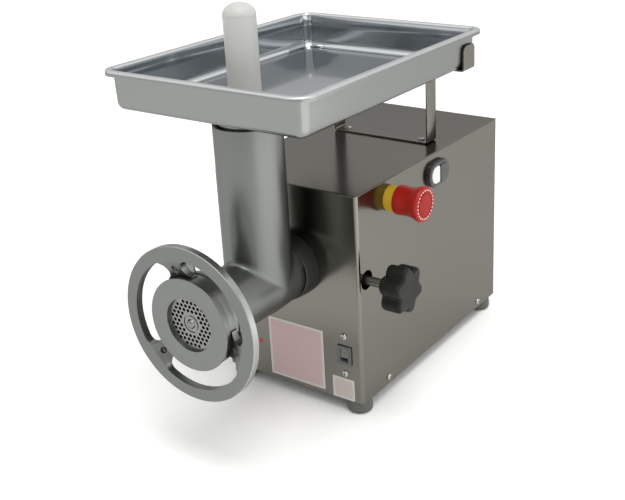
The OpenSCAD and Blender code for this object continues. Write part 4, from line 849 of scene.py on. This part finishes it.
floor_mesh = bmesh.new()
bmesh.ops.create_grid(floor_mesh, x_segments=1, y_segments=1, size=12.0)
floor_data = bpy.data.meshes.new("studio_floor")
floor_mesh.to_mesh(floor_data)
floor_mesh.free()
floor = bpy.data.objects.new("studio_floor", floor_data)
bpy.context.scene.collection.objects.link(floor)
floor_paint = moulded("pale_floor", (0.93, 0.93, 0.925), 0.75, pit=300.0, depth=0.0, tint=0.005)
floor_data.materials.append(floor_paint)

sky = bpy.data.worlds.new("soft_studio")
bpy.context.scene.world = sky
sky.use_nodes = True
air = sky.node_tree
backing = air.nodes["Background"]
direction = air.nodes.new("ShaderNodeTexCoord")
split = air.nodes.new("ShaderNodeSeparateXYZ")
ramp = air.nodes.new("ShaderNodeValToRGB")
air.links.new(direction.outputs["Generated"], split.inputs["Vector"])
air.links.new(split.outputs["Z"], ramp.inputs["Fac"])
air.links.new(ramp.outputs["Color"], backing.inputs["Color"])
# The sky is white at the horizon, grey above it and brightest overhead; a stop stands at its height's sine
ramp.color_ramp.elements[0].position = 0.03
ramp.color_ramp.elements[0].color = (1.0, 1.0, 1.0, 1)
ramp.color_ramp.elements[1].position = 0.58
ramp.color_ramp.elements[1].color = (1.12, 1.12, 1.10, 1)
for height, grey in ((0.07, 0.48), (0.22, 0.48), (0.28, 0.70), (0.44, 0.72)):
    ramp.color_ramp.elements.new(height).color = (grey, grey, grey, 1)
backing.inputs["Strength"].default_value = 1.0

key = bpy.data.lights.new("overcast_sun", "SUN")
key.energy = 1.25
key.angle = math.radians(30)
key_object = bpy.data.objects.new("overcast_sun", key)
key_object.rotation_euler = Vector((-0.25, 0.15, -1.0)).to_track_quat("-Z", "Y").to_euler()
bpy.context.scene.collection.objects.link(key_object)

for name, brightness, size, place, towards in (
        ("right_softbox", 0.8, (0.80, 0.50), (0.52, -0.10, 0.26), (-1, 0, 0)),
        ("back_softbox", 0.18, (3.4, 1.3), (-1.75, 2.45, 1.70), (0.56, -0.83, -0.48))):
    box = bpy.data.lights.new(name, "AREA")
    box.shape, box.size, box.size_y = "RECTANGLE", size[0], size[1]
    box.energy = brightness * math.pi * size[0] * size[1]
    box_object = bpy.data.objects.new(name, box)
    box_object.location = place
    box_object.rotation_euler = Vector(towards).to_track_quat("-Z", "Y").to_euler()
    box_object.visible_camera = False
    bpy.context.scene.collection.objects.link(box_object)

bpy.context.scene.view_settings.view_transform = "Standard"
lens = bpy.data.cameras.new("product_camera")
lens.lens = 57.73
lens.sensor_width = 36.0
lens.shift_x = -0.076
lens.shift_y = -0.08
lens.clip_start = 0.05
camera = bpy.data.objects.new("product_camera", lens)
# The last column is the camera's place in metres: right of the machine, in front of it and above its feet
camera.matrix_world = Matrix(((0.8349, -0.1684, 0.5241, 0.61783), (0.5493, 0.3138, -0.7745, -0.87189),
                              (-0.0341, 0.9345, 0.3545, 0.61871), (0, 0, 0, 1)))
bpy.context.scene.collection.objects.link(camera)
bpy.context.scene.camera = camera
